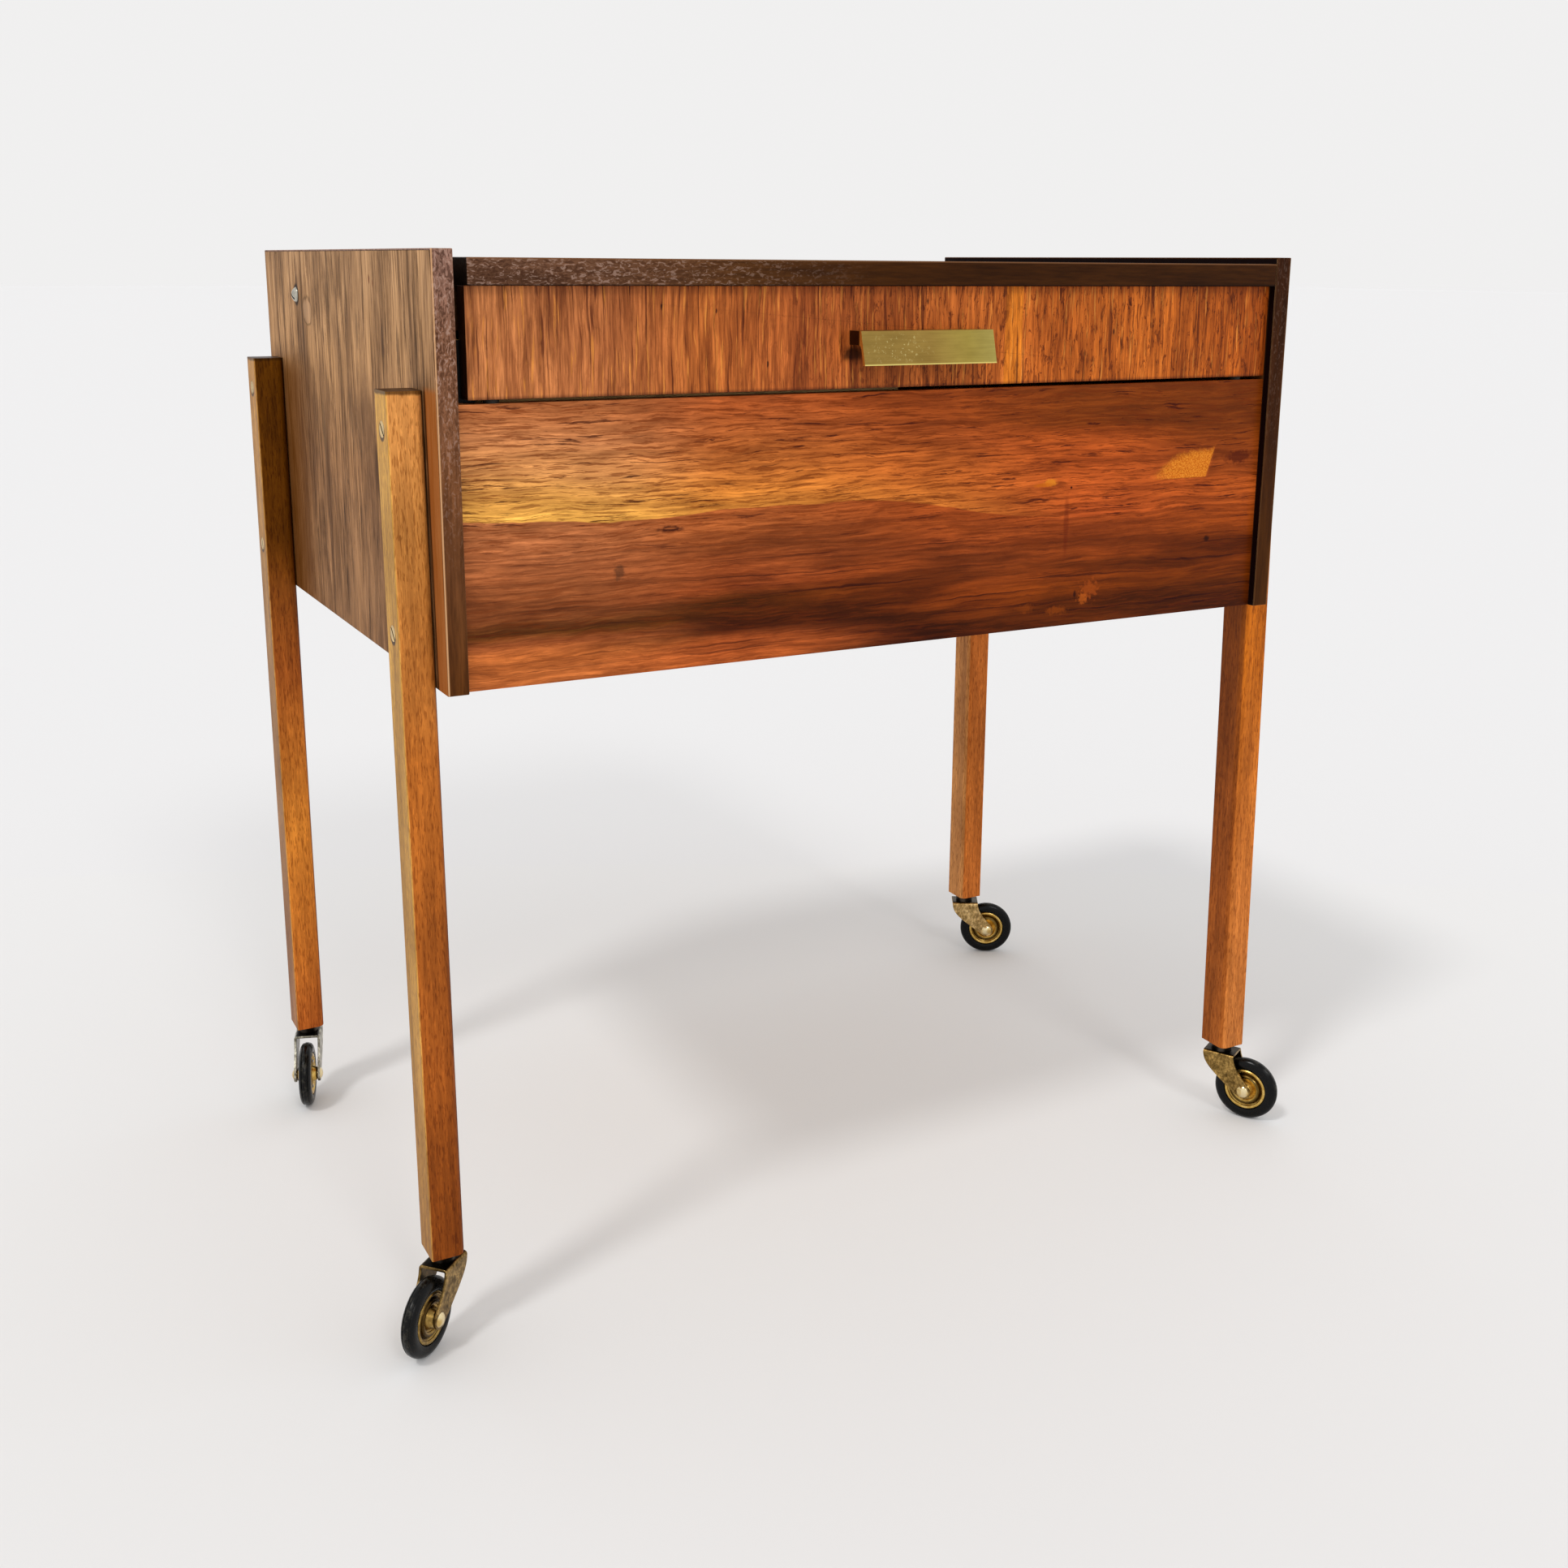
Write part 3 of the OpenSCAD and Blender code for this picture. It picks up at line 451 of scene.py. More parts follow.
BELOW_LINE = [
    (-0.22, [(0, "A2623E"), (0.2, "A6623E"), (0.45, "905232"), (0.58, "7C462B"),
             (0.66, "603A20"), (0.72, "925030"), (0.80, "C06C3A"), (1, "B8683A")]),
    (-0.11, [(0, "A05630"), (0.12, "94502D"), (0.33, "864629"), (0.50, "803F25"),
             (0.58, "4A2A15"), (0.76, "412311"), (0.84, "A4522D"), (1, "AA582F")]),
    (0.02, [(0, "9A4A26"), (0.1, "904625"), (0.33, "824024"), (0.57, "76391E"),
            (0.77, "4A2713"), (1, "3A1F0F")]),
    (0.13, [(0, "904424"), (0.26, "783A20"), (0.53, "6A341B"), (0.75, "4E2914"),
            (1, "341B0E")]),
    (0.24, [(0, "904422"), (0.26, "78391D"), (0.53, "65321A"), (0.75, "4A2712"),
            (1, "2E190D")]),
]


def columns(f, x, along, tones_at):
    """Tones that run along a value, in columns that go over into each other along X."""
    place, tones = tones_at[0]
    paint = f.ramp(along, tones)
    for next_place, tones in tones_at[1:]:
        paint = f.blend(f.remap(x, place, next_place), paint, f.ramp(along, tones))
        place = next_place
    return paint


def lower_front_veneer():
    """Walnut veneer with level grain: a golden band above a sharp line, and darker wood below."""
    f = Finish("lower_front_veneer", Specular_IOR_Level=0.065)
    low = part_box("lower_front")[0]
    x = f.axes()[0]
    waves = [((7, 7, 20), 9 * MM), ((34, 30, 70), 3.2 * MM), ((130, 30, 260), 1.0 * MM)]
    point = f.ripple("Z", waves)
    z = f.axes(point)[2]
    dip = f.times(f.remap(x, -0.24, -0.175), f.remap(x, -0.11, -0.165))
    fall = f.remap(x, -0.05, 0.12, low.z + 86.8 * MM, low.z + 67.5 * MM)
    line = f.calc("MULTIPLY_ADD", dip, -3.2 * MM, fall)
    over_line = f.minus(z, line)
    above = f.remap(over_line, 0, 55 * MM, smooth=False)
    below = f.remap(f.minus(line, z), 0, 88 * MM, smooth=False)
    upper = columns(f, x, above, ABOVE_LINE)
    lower = columns(f, x, below, BELOW_LINE)
    paint = f.blend(f.remap(over_line, -0.4 * MM, 0.4 * MM), lower, upper)
    band = grain(f, "X", 90, 14, 31.0, 3, 0.6, 0.3, point)
    band_depth = f.times(f.remap(below, 0.1, 0.3), f.remap(x, -0.20, 0.05, 0.3, 1.0))
    banded = f.shade(paint, f.remap(band, 0.40, 0.60), (0.62, 0.60, 0.58), (1.24, 1.22, 1.20))
    paint = f.blend(band_depth, paint, banded)
    cloud = grain(f, "X", 70, 4, 2.0, 6, 0.68, 0.5, point)
    paint = f.shade(paint, f.remap(cloud, 0.32, 0.68), (0.78, 0.75, 0.72), (1.20, 1.22, 1.20))
    lines = grain(f, "X", 420, 30, 5.0, 5, 0.70, 0.2, point)
    paint = f.shade(paint, f.remap(lines, 0.38, 0.62), (1.16, 1.16, 1.14), (0.74, 0.70, 0.66))
    ring = grain(f, "X", 400, 60, 11.0, 3, 0.55, 0.2, point)
    ring_depth = f.times(f.remap(below, 0.06, 0.3), f.remap(x, -0.24, 0.0, 0.40, 0.75))
    paint = f.stain(paint, f.remap(ring, 0.58, 0.66), ring_depth, "2E160A")
    dash = grain(f, "X", 900, 18, 3.0, 4, 0.66, 0.3, point)
    dash_depth = f.remap(over_line, -30 * MM, 8 * MM, 0.32, 0.62)
    paint = f.stain(paint, f.remap(dash, 0.52, 0.58), dash_depth, "662F14")
    crevice = grain(f, "X", 620, 20, 23.0, 4, 0.66, 0.4, point)
    crevice_depth = f.remap(over_line, -30 * MM, 8 * MM, 0.35, 0.8)
    paint = f.stain(paint, f.remap(crevice, 0.60, 0.65), crevice_depth, "38190C")
    light = grain(f, "X", 850, 14, 15.0, 3, 0.6, 0.3, point)
    lit = f.shade(paint, f.remap(light, 0.44, 0.62), (0.96, 0.96, 0.96), (1.22, 1.26, 1.28))
    on_left = f.remap(x, 0.0, -0.12)
    paint = f.blend(f.remap(on_left, 0, 1, 0.35, 1.0), paint, lit)
    paint = golden_patch(f, front_marks(f, paint, low), low)
    f.bump(dash, 0.12 * MM, -0.4)
    f.bump(crevice, 0.12 * MM, -0.4)
    return f.paint(paint, f.remap(cloud, 0.3, 0.7, 0.40, 0.32))


# Marks of the lower front, in millimetres: (from its left end, above its foot), (half length,
# half height), tone, strength, how ragged its outline is
FRONT_MARKS = [
    ((364, 88.6), (6.5, 2.8), "CC7A28", 0.85, 1.2),
    ((359.5, 87.4), (9, 1.8), "B8601F", 0.7, 1.2),
    ((372, 10), (11, 3), "84401C", 0.6, 1.8),
    ((349, 13), (7, 4), "7C3C1C", 0.5, 1.6),
    ((397, 21), (7.5, 7), "944620", 0.6, 3.4),
    ((391.5, 15.5), (4.2, 4.6), "A85422", 0.65, 2.8),
    ((385.8, 19), (1.4, 3), "2A1208", 0.8, 0.5),
    ((115, 77), (9, 2.4), "32160A", 0.9, 0.9),
    ((115, 77.3), (5, 0.7), "A05A34", 0.7, 0.5),
    ((85.3, 56), (4.2, 6), "4A3226", 0.65, 1.4),
    ((379.8, 84.8), (1.1, 1.1), "2A1006", 0.95, 0.0),
    ((377, 61.7), (2.6, 24), "5A2410", 0.45, 0.9),
    ((488.8, 46.6), (3.2, 2.6), "24100A", 0.8, 0.9),
    ((511, 97.6), (14, 5.5), "481E0E", 0.8, 1.4),
]


def front_marks(f, paint, low):
    """Pale patches, knots, pin holes and stains of the lower front."""
    for (from_left, above_foot), (half_x, half_z), tone, depth, ragged in FRONT_MARKS:
        centre = (low.x + from_left * MM, low.y, low.z + above_foot * MM)
        mark = f.spot(centre, (half_x * MM, FRONT_SPOT_DEPTH, half_z * MM), ragged, 380)
        paint = f.stain(paint, mark, depth, tone)
    return paint


def above_slope(f, corner, slope):
    """How far a point on the object lies above a line through a corner. Both are in X and Z."""
    x, y, z = f.axes()
    rise = f.minus(z, corner[1])
    return f.calc("MULTIPLY_ADD", f.minus(x, corner[0]), -slope, rise)


def golden_patch(f, paint, low):
    """A golden four-sided patch with a worn left end, and a slightly darker area beyond it."""
    x, y, z = f.axes()
    uneven = f.minus(f.noise(f.place((160, 160, 160)), 4, 0.6), 0.5)
    foot = low.z + 86.2 * MM
    left = above_slope(f, (low.x + 438.4 * MM, foot), 0.637)
    top = above_slope(f, (low.x + 461 * MM, low.z + 100.6 * MM), 0.113)
    over_top = f.calc("MULTIPLY_ADD", uneven, 9 * MM, f.calc("MAXIMUM", left, top))
    over_foot = f.remap(z, foot - 0.4 * MM, foot + 0.4 * MM)
    right_end = low.x + 485.4 * MM
    to_right = f.calc("MULTIPLY_ADD", f.minus(z, foot), -0.34, x)
    golden = f.times(f.remap(over_top, 2.5 * MM, -2.5 * MM), over_foot)
    golden = f.times(golden, f.remap(to_right, right_end, right_end - 1.1 * MM))
    fade = f.calc("MULTIPLY_ADD", uneven, 30 * MM, x)
    golden = f.times(golden, f.remap(fade, low.x + 434 * MM, low.x + 462 * MM))
    grit = f.noise(f.place((1100, 1100, 1100)), 2)
    gold = f.ramp(grit, [(0.38, "B4601E"), (0.5, "CC7628"), (0.62, "DA8A32")])
    paint = f.stain(paint, golden, 0.85, gold)
    beyond = f.times(f.remap(to_right, right_end, right_end + 1.4 * MM), over_foot)
    beyond = f.times(beyond, f.remap(z, low.z + 111 * MM, low.z + 99 * MM))
    return f.stain(paint, beyond, 0.35, "5A2C16")


RINGS_PER_METRE = 150


def panel_veneer(name, node, middle, axis, seed):
    """Walnut veneer cut slightly askew to the tree, so that its rings make long arches."""
    f = Finish(name, Specular_IOR_Level=0.12)
    spread = [1.0, 1.0, 1.0]
    spread["XYZ".index(axis)] = 0.07
    waves = [((4, 5, 5), 16 * MM), ((20, 60, 60), 1.6 * MM)]
    bent = f.ripple("Z" if node == "back_panel" else "Y", waves)
    around = f.place(spread, [-c * s for c, s in zip(middle, spread)], bent)
    distance = f.vector_calc("LENGTH", around)
    width = f.remap(f.noise(f.place((5, 5, 5), (seed, 2, 0)), 1), 0.35, 0.65, 0.85, 1.15)
    rings = f.times(f.times(distance, RINGS_PER_METRE), width)
    paint = f.ramp(f.calc("FRACT", rings), [
        (0, "724022"), (0.3, "784626"), (0.72, "6A3C20"),
        (0.9, "5C341C"), (0.97, "543018"), (1, "724022"),
    ])
    broad = grain(f, axis, 16, 6, seed + 3, 3, 0.6)
    paint = f.shade(paint, f.remap(broad, 0.3, 0.7), (0.70, 0.68, 0.66), (1.26, 1.28, 1.28))
    lines = grain(f, axis, 260, 26, seed + 5, 5, 0.65, 0.35, bent)
    paint = f.shade(paint, f.remap(lines, 0.34, 0.66), (1.20, 1.20, 1.18), (0.70, 0.66, 0.62))
    dash = grain(f, axis, 900, 12, seed + 7, 3, 0.6, 0.6, bent)
    paint = f.blend(f.remap(dash, 0.54, 0.64, 0, 0.45), paint, "3E1E0E")
    f.bump(dash, 0.12 * MM, -0.4)
    return f.paint(paint, f.remap(broad, 0.3, 0.7, 0.42, 0.34))


def dark_edging(name, axis, seed, tones, pebbled, arris):
    """Dark brown edging strip. Tones run along its visible edge, and pebbled is how leathery
    its worn part looks. Arris is the tone of its front edges, wear with a painted highlight. The
    lid's edging also has painted shade on its left end and along its foot."""
    f = Finish("edging_" + name, Specular_IOR_Level=0.06)
    low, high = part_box(name)
    x, y, z = f.axes()
    if axis == "X":
        place = f.remap(x, -260 * MM, 200 * MM)
        worn = f.remap(place, 0.55, 0.0)
        reach = f.minus(high.z, z)
    else:
        place = f.remap(z, low.z, high.z, smooth=False)
        worn = f.remap(place, 0.2, 0.9)
        reach = f.minus(max(abs(low.x), abs(high.x)), f.calc("ABSOLUTE", x))
    paint = f.ramp(place, tones)
    worn = f.times(worn, pebbled)
    figure = grain(f, axis, 150, 12, seed, 4, 0.62)
    paint = f.shade(paint, f.remap(figure, 0.3, 0.7), (0.74, 0.70, 0.66), (1.24, 1.24, 1.24))
    fine = grain(f, axis, 700, 12, seed + 2, 3, 0.6)
    paint = f.shade(paint, f.remap(fine, 0.3, 0.7), (1.18, 1.18, 1.18), (0.76, 0.74, 0.72))
    crinkle = f.noise(f.place(along_grain(axis, 620, 2.2), (seed, 0, 0)), 3, 0.55, 1.2)
    dimple = f.times(f.remap(crinkle, 0.47, 0.41), worn)
    ridge = f.times(f.remap(crinkle, 0.54, 0.62), worn)
    paint = f.stain(paint, dimple, 0.6, "32201A")
    paint = f.stain(paint, ridge, 0.55, "A68A7C")
    # Wear with a painted highlight: a paler line along the front edges.
    on_front = f.remap(f.facing()[1], -0.3, -0.6)
    at_arris = f.times(f.remap(reach, 1.0 * MM, 0.5 * MM), on_front)
    paint = f.stain(paint, at_arris, 0.8, arris)
    if axis == "X":
        # Painted shade: the lid edging's left end near black, and a dark line along its foot.
        left_end = f.remap(f.facing()[0], -0.4, -0.8)
        paint = f.stain(paint, left_end, 0.95, "140A06")
        under = f.remap(z, low.z + 1.2 * MM, low.z)
        paint = f.stain(paint, under, 0.8, "1A0C06")
    else:
        elsewhere = f.remap(at_arris, 1, 0)
        paint = f.stain(paint, f.times(f.wear(), 0.25), elsewhere, "7A5A40")
    rough = f.noise(f.place((420, 420, 420), (seed, 0, 0)), 4, 0.6)
    f.bump(fine, 0.15 * MM, -0.6)
    f.bump(rough, 0.15 * MM, 0.4)
    f.bump(crinkle, 0.25 * MM, 0.5 * pebbled)
    return f.paint(paint, f.remap(fine, 0.3, 0.7, 0.40, 0.52))


def beech(name, axis, seed, tones=("A97A42", "BC8C50", "CFA064")):
    """Beech with short dark flecks along the grain. Tones run from its low to its high end."""
    f = Finish("beech_" + name, Specular_IOR_Level=0.15)
    low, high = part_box(name)
    i = "XYZ".index(axis)
    along = f.remap(f.axes()[i], low[i], high[i], smooth=False)
    return beech_grain(f, axis, seed, f.ramp(along, list(zip((0.0, 0.5, 1.0), tones))))


def beech_grain(f, axis, seed, paint):
    """Beech's bands, lines and flecks over a paint."""
    figure = grain(f, axis, 60, 14, seed, 4, 0.6, 0.3)
    paint = f.shade(paint, f.remap(figure, 0.3, 0.7), (0.80, 0.76, 0.72), (1.20, 1.22, 1.20))
    slow = f.noise(f.place(along_grain(axis, 16, 1.4), (seed, 1, 2)), 3)
    paint = f.shade(paint, f.remap(slow, 0.3, 0.7), (0.80, 0.78, 0.76), (1.18, 1.20, 1.20))
    lines = grain(f, axis, 480, 26, seed + 1, 4, 0.62)
    paint = f.shade(paint, f.remap(lines, 0.3, 0.7), (0.82, 0.80, 0.78), (1.18, 1.20, 1.20))
    fleck = grain(f, axis, 1300, 8, seed + 3, 2, 0.5, 0.3)
    paint = f.shade(paint, f.remap(fleck, 0.53, 0.63), (1, 1, 1), (0.66, 0.58, 0.50))
    pale = grain(f, axis, 1150, 7, seed + 6, 2, 0.5, 0.3)
    paint = f.shade(paint, f.remap(pale, 0.54, 0.66), (1, 1, 1), (1.22, 1.24, 1.26))
    ends = f.calc("ABSOLUTE", f.facing()["XYZ".index(axis)])
    paint = f.blend(f.remap(ends, 0.5, 0.85, 0, 0.88), paint, "33220F")
    f.bump(fleck, 0.10 * MM, -0.5)
    f.bump(lines, 0.08 * MM, 0.4)
    return f.paint(paint, f.remap(slow, 0.3, 0.7, 0.44, 0.36))


SCREW_DROPS = [88 * MM, 192 * MM]  # From the case's top down to the two screws of each leg


def leg_beech(corner, seed, front_tones, flank_tones):
    """Stained beech of a leg. Tones run up the leg: its flank tones are on both flanks of a right
    leg and on the outer flank of a left one, and its front tones are on the other faces. Front and
    flank tones differ as light falls on each face: painted light and shade over the stain's tone."""
    name = "leg_" + corner
    f = Finish("leg_beech_" + corner, Specular_IOR_Level=0.07)
    low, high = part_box(name)
    x, y, z = f.axes()
    up = f.remap(z, low.z, high.z, smooth=False)
    front = f.ramp(up, front_tones)
    flank = f.ramp(up, flank_tones)
    sideways = f.calc("ABSOLUTE", f.facing()[0])
    turned = f.remap(sideways, 0.6, 0.8) if low.x > 0 else f.remap(f.facing()[0], -0.6, -0.8)
    paint = f.blend(turned, front, flank)
    outward = f.times(f.facing()[0], -1.0 if low.x < 0 else 1.0)
    outer_wear = f.times(f.wear(), f.remap(outward, 0.1, 0.4))
    paint = f.stain(paint, outer_wear, 0.35, "D8A45C")
    # Painted shade on a left leg's inner faces and their rounded edges.
    if low.x < 0:
        paint = f.blend(f.remap(outward, -0.66, -0.94, 0, 0.8), paint, "3A1E0C")
    uneven = f.minus(f.noise(f.place((180, 180, 180)), 2), 0.5)
    uneven = f.times(uneven, 2 * MM)
    from_top = f.calc("ADD", f.minus(high.z, z), uneven)
    paint = f.blend(f.remap(from_top, 2.6 * MM, 1.2 * MM, 0, 0.8), paint, "3C2A14")
    upright_low, upright_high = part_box("leg_rear_left")
    half_depth = (upright_high.y - upright_low.y) / 2
    middle = f.remap(up, 0, 1, low.y + half_depth, high.y - half_depth, smooth=False)
    across_leg = f.minus(y, middle)
    # Grime and painted contact shadow: a dark ring round each screw head on the outer flank.
    for drop in SCREW_DROPS:
        up_leg = f.minus(z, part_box("side_left")[1].z - drop)
        square = f.times(up_leg, up_leg)
        reach = f.calc("SQRT", f.calc("MULTIPLY_ADD", across_leg, across_leg, square))
        ring = f.times(f.remap(reach, 5.8 * MM, 4.6 * MM), f.remap(outward, 0.6, 0.8))
        paint = f.stain(paint, ring, 0.85, "2A1A0A")
    return beech_grain(f, "Z", seed, paint)


def tray_wood(name, node, axis, seed):
    """Pale lacquered wood of the trays, with painted shade where the upper front board shows in the
    gap beside the lid."""
    f = Finish(name, Specular_IOR_Level=0.2)
    figure = grain(f, axis, 55, 18, seed, 4, 0.6, 0.4)
    paint = f.ramp(figure, [(0.3, "AC844E"), (0.5, "C69C62"), (0.7, "D8B278")])
    lines = grain(f, axis, 360, 36, seed + 2, 3, 0.6)
    paint = f.shade(paint, f.remap(lines, 0.3, 0.7), (0.84, 0.82, 0.80), (1.10, 1.12, 1.12))
    pore = pores(f, axis, seed + 5, 0.60, 1200, 9)
    paint = f.stain(paint, pore, 0.45, "7C5A34")
    ends = f.calc("ABSOLUTE", f.facing()["XYZ".index(axis)])
    paint = f.blend(f.remap(ends, 0.7, 0.9, 0, 0.55), paint, "8A6234")
    # Painted shade: near black on the front face of the upper tray's front board, by its left end.
    if node == "upper_tray_front":
        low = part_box(node)[0]
        end = f.remap(f.axes()[0], low.x + 16 * MM, low.x + 12 * MM)
        paint = f.stain(paint, end, f.remap(f.facing()[1], -0.2, -0.6), "140A06")
    f.bump(lines, 0.06 * MM, 0.5)
    return f.paint(paint, f.remap(figure, 0.3, 0.7, 0.46, 0.38))


def plywood(name, seed, ply):
    """Thin plywood: pale face grain along X, and darker layers along its edges."""
    f = Finish(name, Specular_IOR_Level=0.2)
    figure = grain(f, "X", 26, 10, seed, 4, 0.6, 0.8)
    paint = f.ramp(figure, [(0.3, "A57B48"), (0.5, "B88D58"), (0.7, "C9A26C")])
    lines = grain(f, "X", 300, 30, seed + 2, 3, 0.6)
    paint = f.shade(paint, f.remap(lines, 0.3, 0.7), (0.82, 0.80, 0.78), (1.12, 1.14, 1.14))
    layer = f.calc("PINGPONG", f.axes()[2], ply)
    edge = f.blend(f.remap(layer, ply * 0.4, ply * 0.6), "C29C66", "8A6238")
    on_edge = f.remap(f.calc("ABSOLUTE", f.facing()[2]), 0.6, 0.4)
    paint = f.blend(on_edge, paint, edge)
    f.bump(lines, 0.08 * MM, 0.5)
    return f.paint(paint, f.remap(figure, 0.3, 0.7, 0.6, 0.5))


# Metals and rubber ----------------------------------------------------------------------------

def handle_brass():
    """Dull olive brass with fine scratches and specks of wear, with painted highlights on its bright
    edges and painted shade at its back.
    """
    f = Finish("handle_brass", Metallic=1.0)
    low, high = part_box("handle")
    x, y, z = f.axes()
    paint = f.ramp(f.remap(x, low.x, high.x, smooth=False), [
        (0, "8C7440"), (0.5, "947A42"), (0.8, "9A8846"), (1, "A69856"),
    ])
    cloud = f.noise(f.place((30, 30, 60), (1, 2, 3)), 4, 0.6)
    paint = f.shade(paint, f.remap(cloud, 0.3, 0.7), (0.88, 0.86, 0.84), (1.12, 1.12, 1.14))
    brushed = grain(f, "X", 1500, 40, 2.0, 2)
    paint = f.shade(paint, f.remap(brushed, 0.3, 0.7), (0.93, 0.93, 0.92), (1.07, 1.07, 1.08))
    specks = f.noise(f.place((520, 520, 520), (4, 0, 0)), 5, 0.7)
    worn_at = (low.x + 24 * MM, low.y, (low.z + high.z) / 2)
    worn = f.spot(worn_at, (26 * MM, FRONT_SPOT_DEPTH, 11 * MM), 0.8, 120)
    speckled = f.times(f.remap(specks, 0.57, 0.63), worn)
    paint = f.stain(paint, speckled, 0.6, "D2C488")
    # Polished brass with a painted highlight: the lower edge and the ends pale and bright.
    rim = f.remap(z, low.z + 0.9 * MM, low.z + 0.4 * MM)
    lip_end = f.remap(f.calc("ABSOLUTE", f.facing()[0]), 0.5, 0.8)
    paint = f.stain(paint, f.calc("MAXIMUM", rim, lip_end), 0.85, "DCCB78")
    # Painted shade: the ends and the underside of the solid back near black.
    behind = f.remap(y, low.y + 5.6 * MM, low.y + 7.4 * MM)
    end_or_foot = f.calc("MAXIMUM", lip_end, f.remap(f.facing()[2], -0.3, -0.7))
    paint = f.stain(paint, f.times(behind, end_or_foot), 0.97, "2A1608")
    f.bump(brushed, 0.02 * MM, 0.4)
    return f.paint(paint, f.remap(specks, 0.3, 0.7, 0.30, 0.42))


def plain_metal(name, dark, light, roughness, seed, worn="F0E6C8", slot_side=0.0, slot_floor=0.0):
    """Plated metal with slight clouding and tiny scratches, brighter along its edges. A screw head
    that faces sideways has painted shade instead: on its slot's floor, within slot_floor of the middle
    plane, and on what faces sideways by less than slot_side."""
    f = Finish(name, Metallic=1.0)
    cloud = f.noise(f.place((160, 160, 160), (seed, 0, 0)), 4, 0.6)
    paint = f.ramp(cloud, [(0.3, dark), (0.7, light)])
    sideways = f.calc("ABSOLUTE", f.facing()[0])
    # Painted shade: the slot dark, and a dark rim round the head.
    if slot_floor:
        from_middle = f.calc("ABSOLUTE", f.axes()[0])
        inside = f.remap(from_middle, slot_floor, slot_floor - 0.1 * MM)
        on_floor = f.times(inside, f.remap(sideways, 0.93, 0.97))
        painted_shade = f.calc("MAXIMUM", on_floor, f.remap(sideways, 0.3, 0.15))
        rim = f.remap(sideways, slot_side + 0.2, slot_side)
        paint = f.blend(f.calc("MAXIMUM", painted_shade, f.times(rim, 0.7)), paint, "0E0B07")
    else:
        paint = f.stain(paint, f.wear(0.97, 0.8), 0.4, worn)
    fine = f.noise(f.place((1400, 1400, 1400), (seed, 3, 0)), 3, 0.6)
    f.bump(fine, 0.02 * MM, 0.4)
    return f.paint(paint, f.remap(cloud, 0.3, 0.7, roughness - 0.05, roughness + 0.08))


def axle_of(corner):
    """The middle and the direction of a wheel's axle."""
    joint = joints["roll_" + corner]
    return Vector(joint["pos_m"]), Vector(joint["axis"]).normalized()


FORK_TONES = {
    "front_left": ("4E3E26", "7A6440", "A88A58"),
    "rear_left": ("5A564C", "8C887C", "C8C4B6"),
    "front_right": ("54432A", "80683F", "B4945A"),
    "rear_right": ("7E6844", "A88C5E", "D2B684"),
}


def fork_metal(corner, seed):
    """Antique brass plate with speckled wear, its top painted black with shade and reflection, and
    painted shade inside.
    """
    f = Finish("fork_metal_" + corner, Metallic=1.0)
    centre, axle = axle_of(corner)
    cloud = f.noise(f.place((190, 190, 190), (seed, 0, 0)), 4, 0.65)
    paint = f.ramp(cloud, list(zip((0.32, 0.5, 0.70), FORK_TONES[corner])))
    speckle = f.noise(f.place((620, 620, 420), (seed, 2, 0)), 4, 0.66)
    paint = f.shade(paint, f.remap(speckle, 0.40, 0.60), (0.72, 0.70, 0.66), (1.34, 1.34, 1.30))
    # Painted shade: the inner faces of the cheeks dark.
    away = f.vector_calc("SUBTRACT", f.coordinates.outputs["Object"], centre)
    side = f.vector_calc("DOT_PRODUCT", away, axle)
    outward = f.vector_calc("DOT_PRODUCT", f.coordinates.outputs["Normal"], axle)
    inside = f.remap(f.times(f.calc("SIGN", side), outward), -0.3, -0.7)
    paint = f.stain(paint, inside, 0.75, "1E1A10")
    # Painted shade and reflection of the leg above: the top near black.
    on_top = f.remap(f.facing()[2], 0.75, 0.95)
    paint = f.stain(paint, on_top, 0.9, "100E0C")
    f.bump(cloud, 0.05 * MM, 0.4)
    return f.paint(paint, f.remap(cloud, 0.3, 0.7, 0.38, 0.26))


HUB_TONES = ("A88646", "C4A258", "DCBE78")
DULL_HUB_TONES = ("6A5430", "8A7040", "A88C54")
TURNING_MARKS = 9000  # Radians of relief per metre of radius


def hub_brass(corner, seed):
    """Brass disc with fine turning marks and grime in its groove. The front left one is duller."""
    f = Finish("hub_brass_" + corner, Metallic=1.0)
    centre, axle = axle_of(corner)
    cloud = f.noise(f.place((260, 260, 260), (seed, 0, 0)), 4, 0.6)
    tones = DULL_HUB_TONES if corner == "front_left" else HUB_TONES
    paint = f.ramp(cloud, list(zip((0.3, 0.5, 0.7), tones)))
    away = f.vector_calc("SUBTRACT", f.coordinates.outputs["Object"], centre)
    radius = f.vector_calc("LENGTH", f.vector_calc("CROSS_PRODUCT", away, axle))
    groove = f.times(f.remap(radius, 8.2 * MM, 9.4 * MM), f.remap(radius, 12.2 * MM, 11.2 * MM))
    paint = f.stain(paint, groove, 0.8, "2C2110")
    turned = f.calc("SINE", f.times(radius, TURNING_MARKS))
    f.bump(turned, 0.01 * MM, 0.3)
    return f.paint(paint, f.remap(cloud, 0.3, 0.7, 0.34, 0.22))


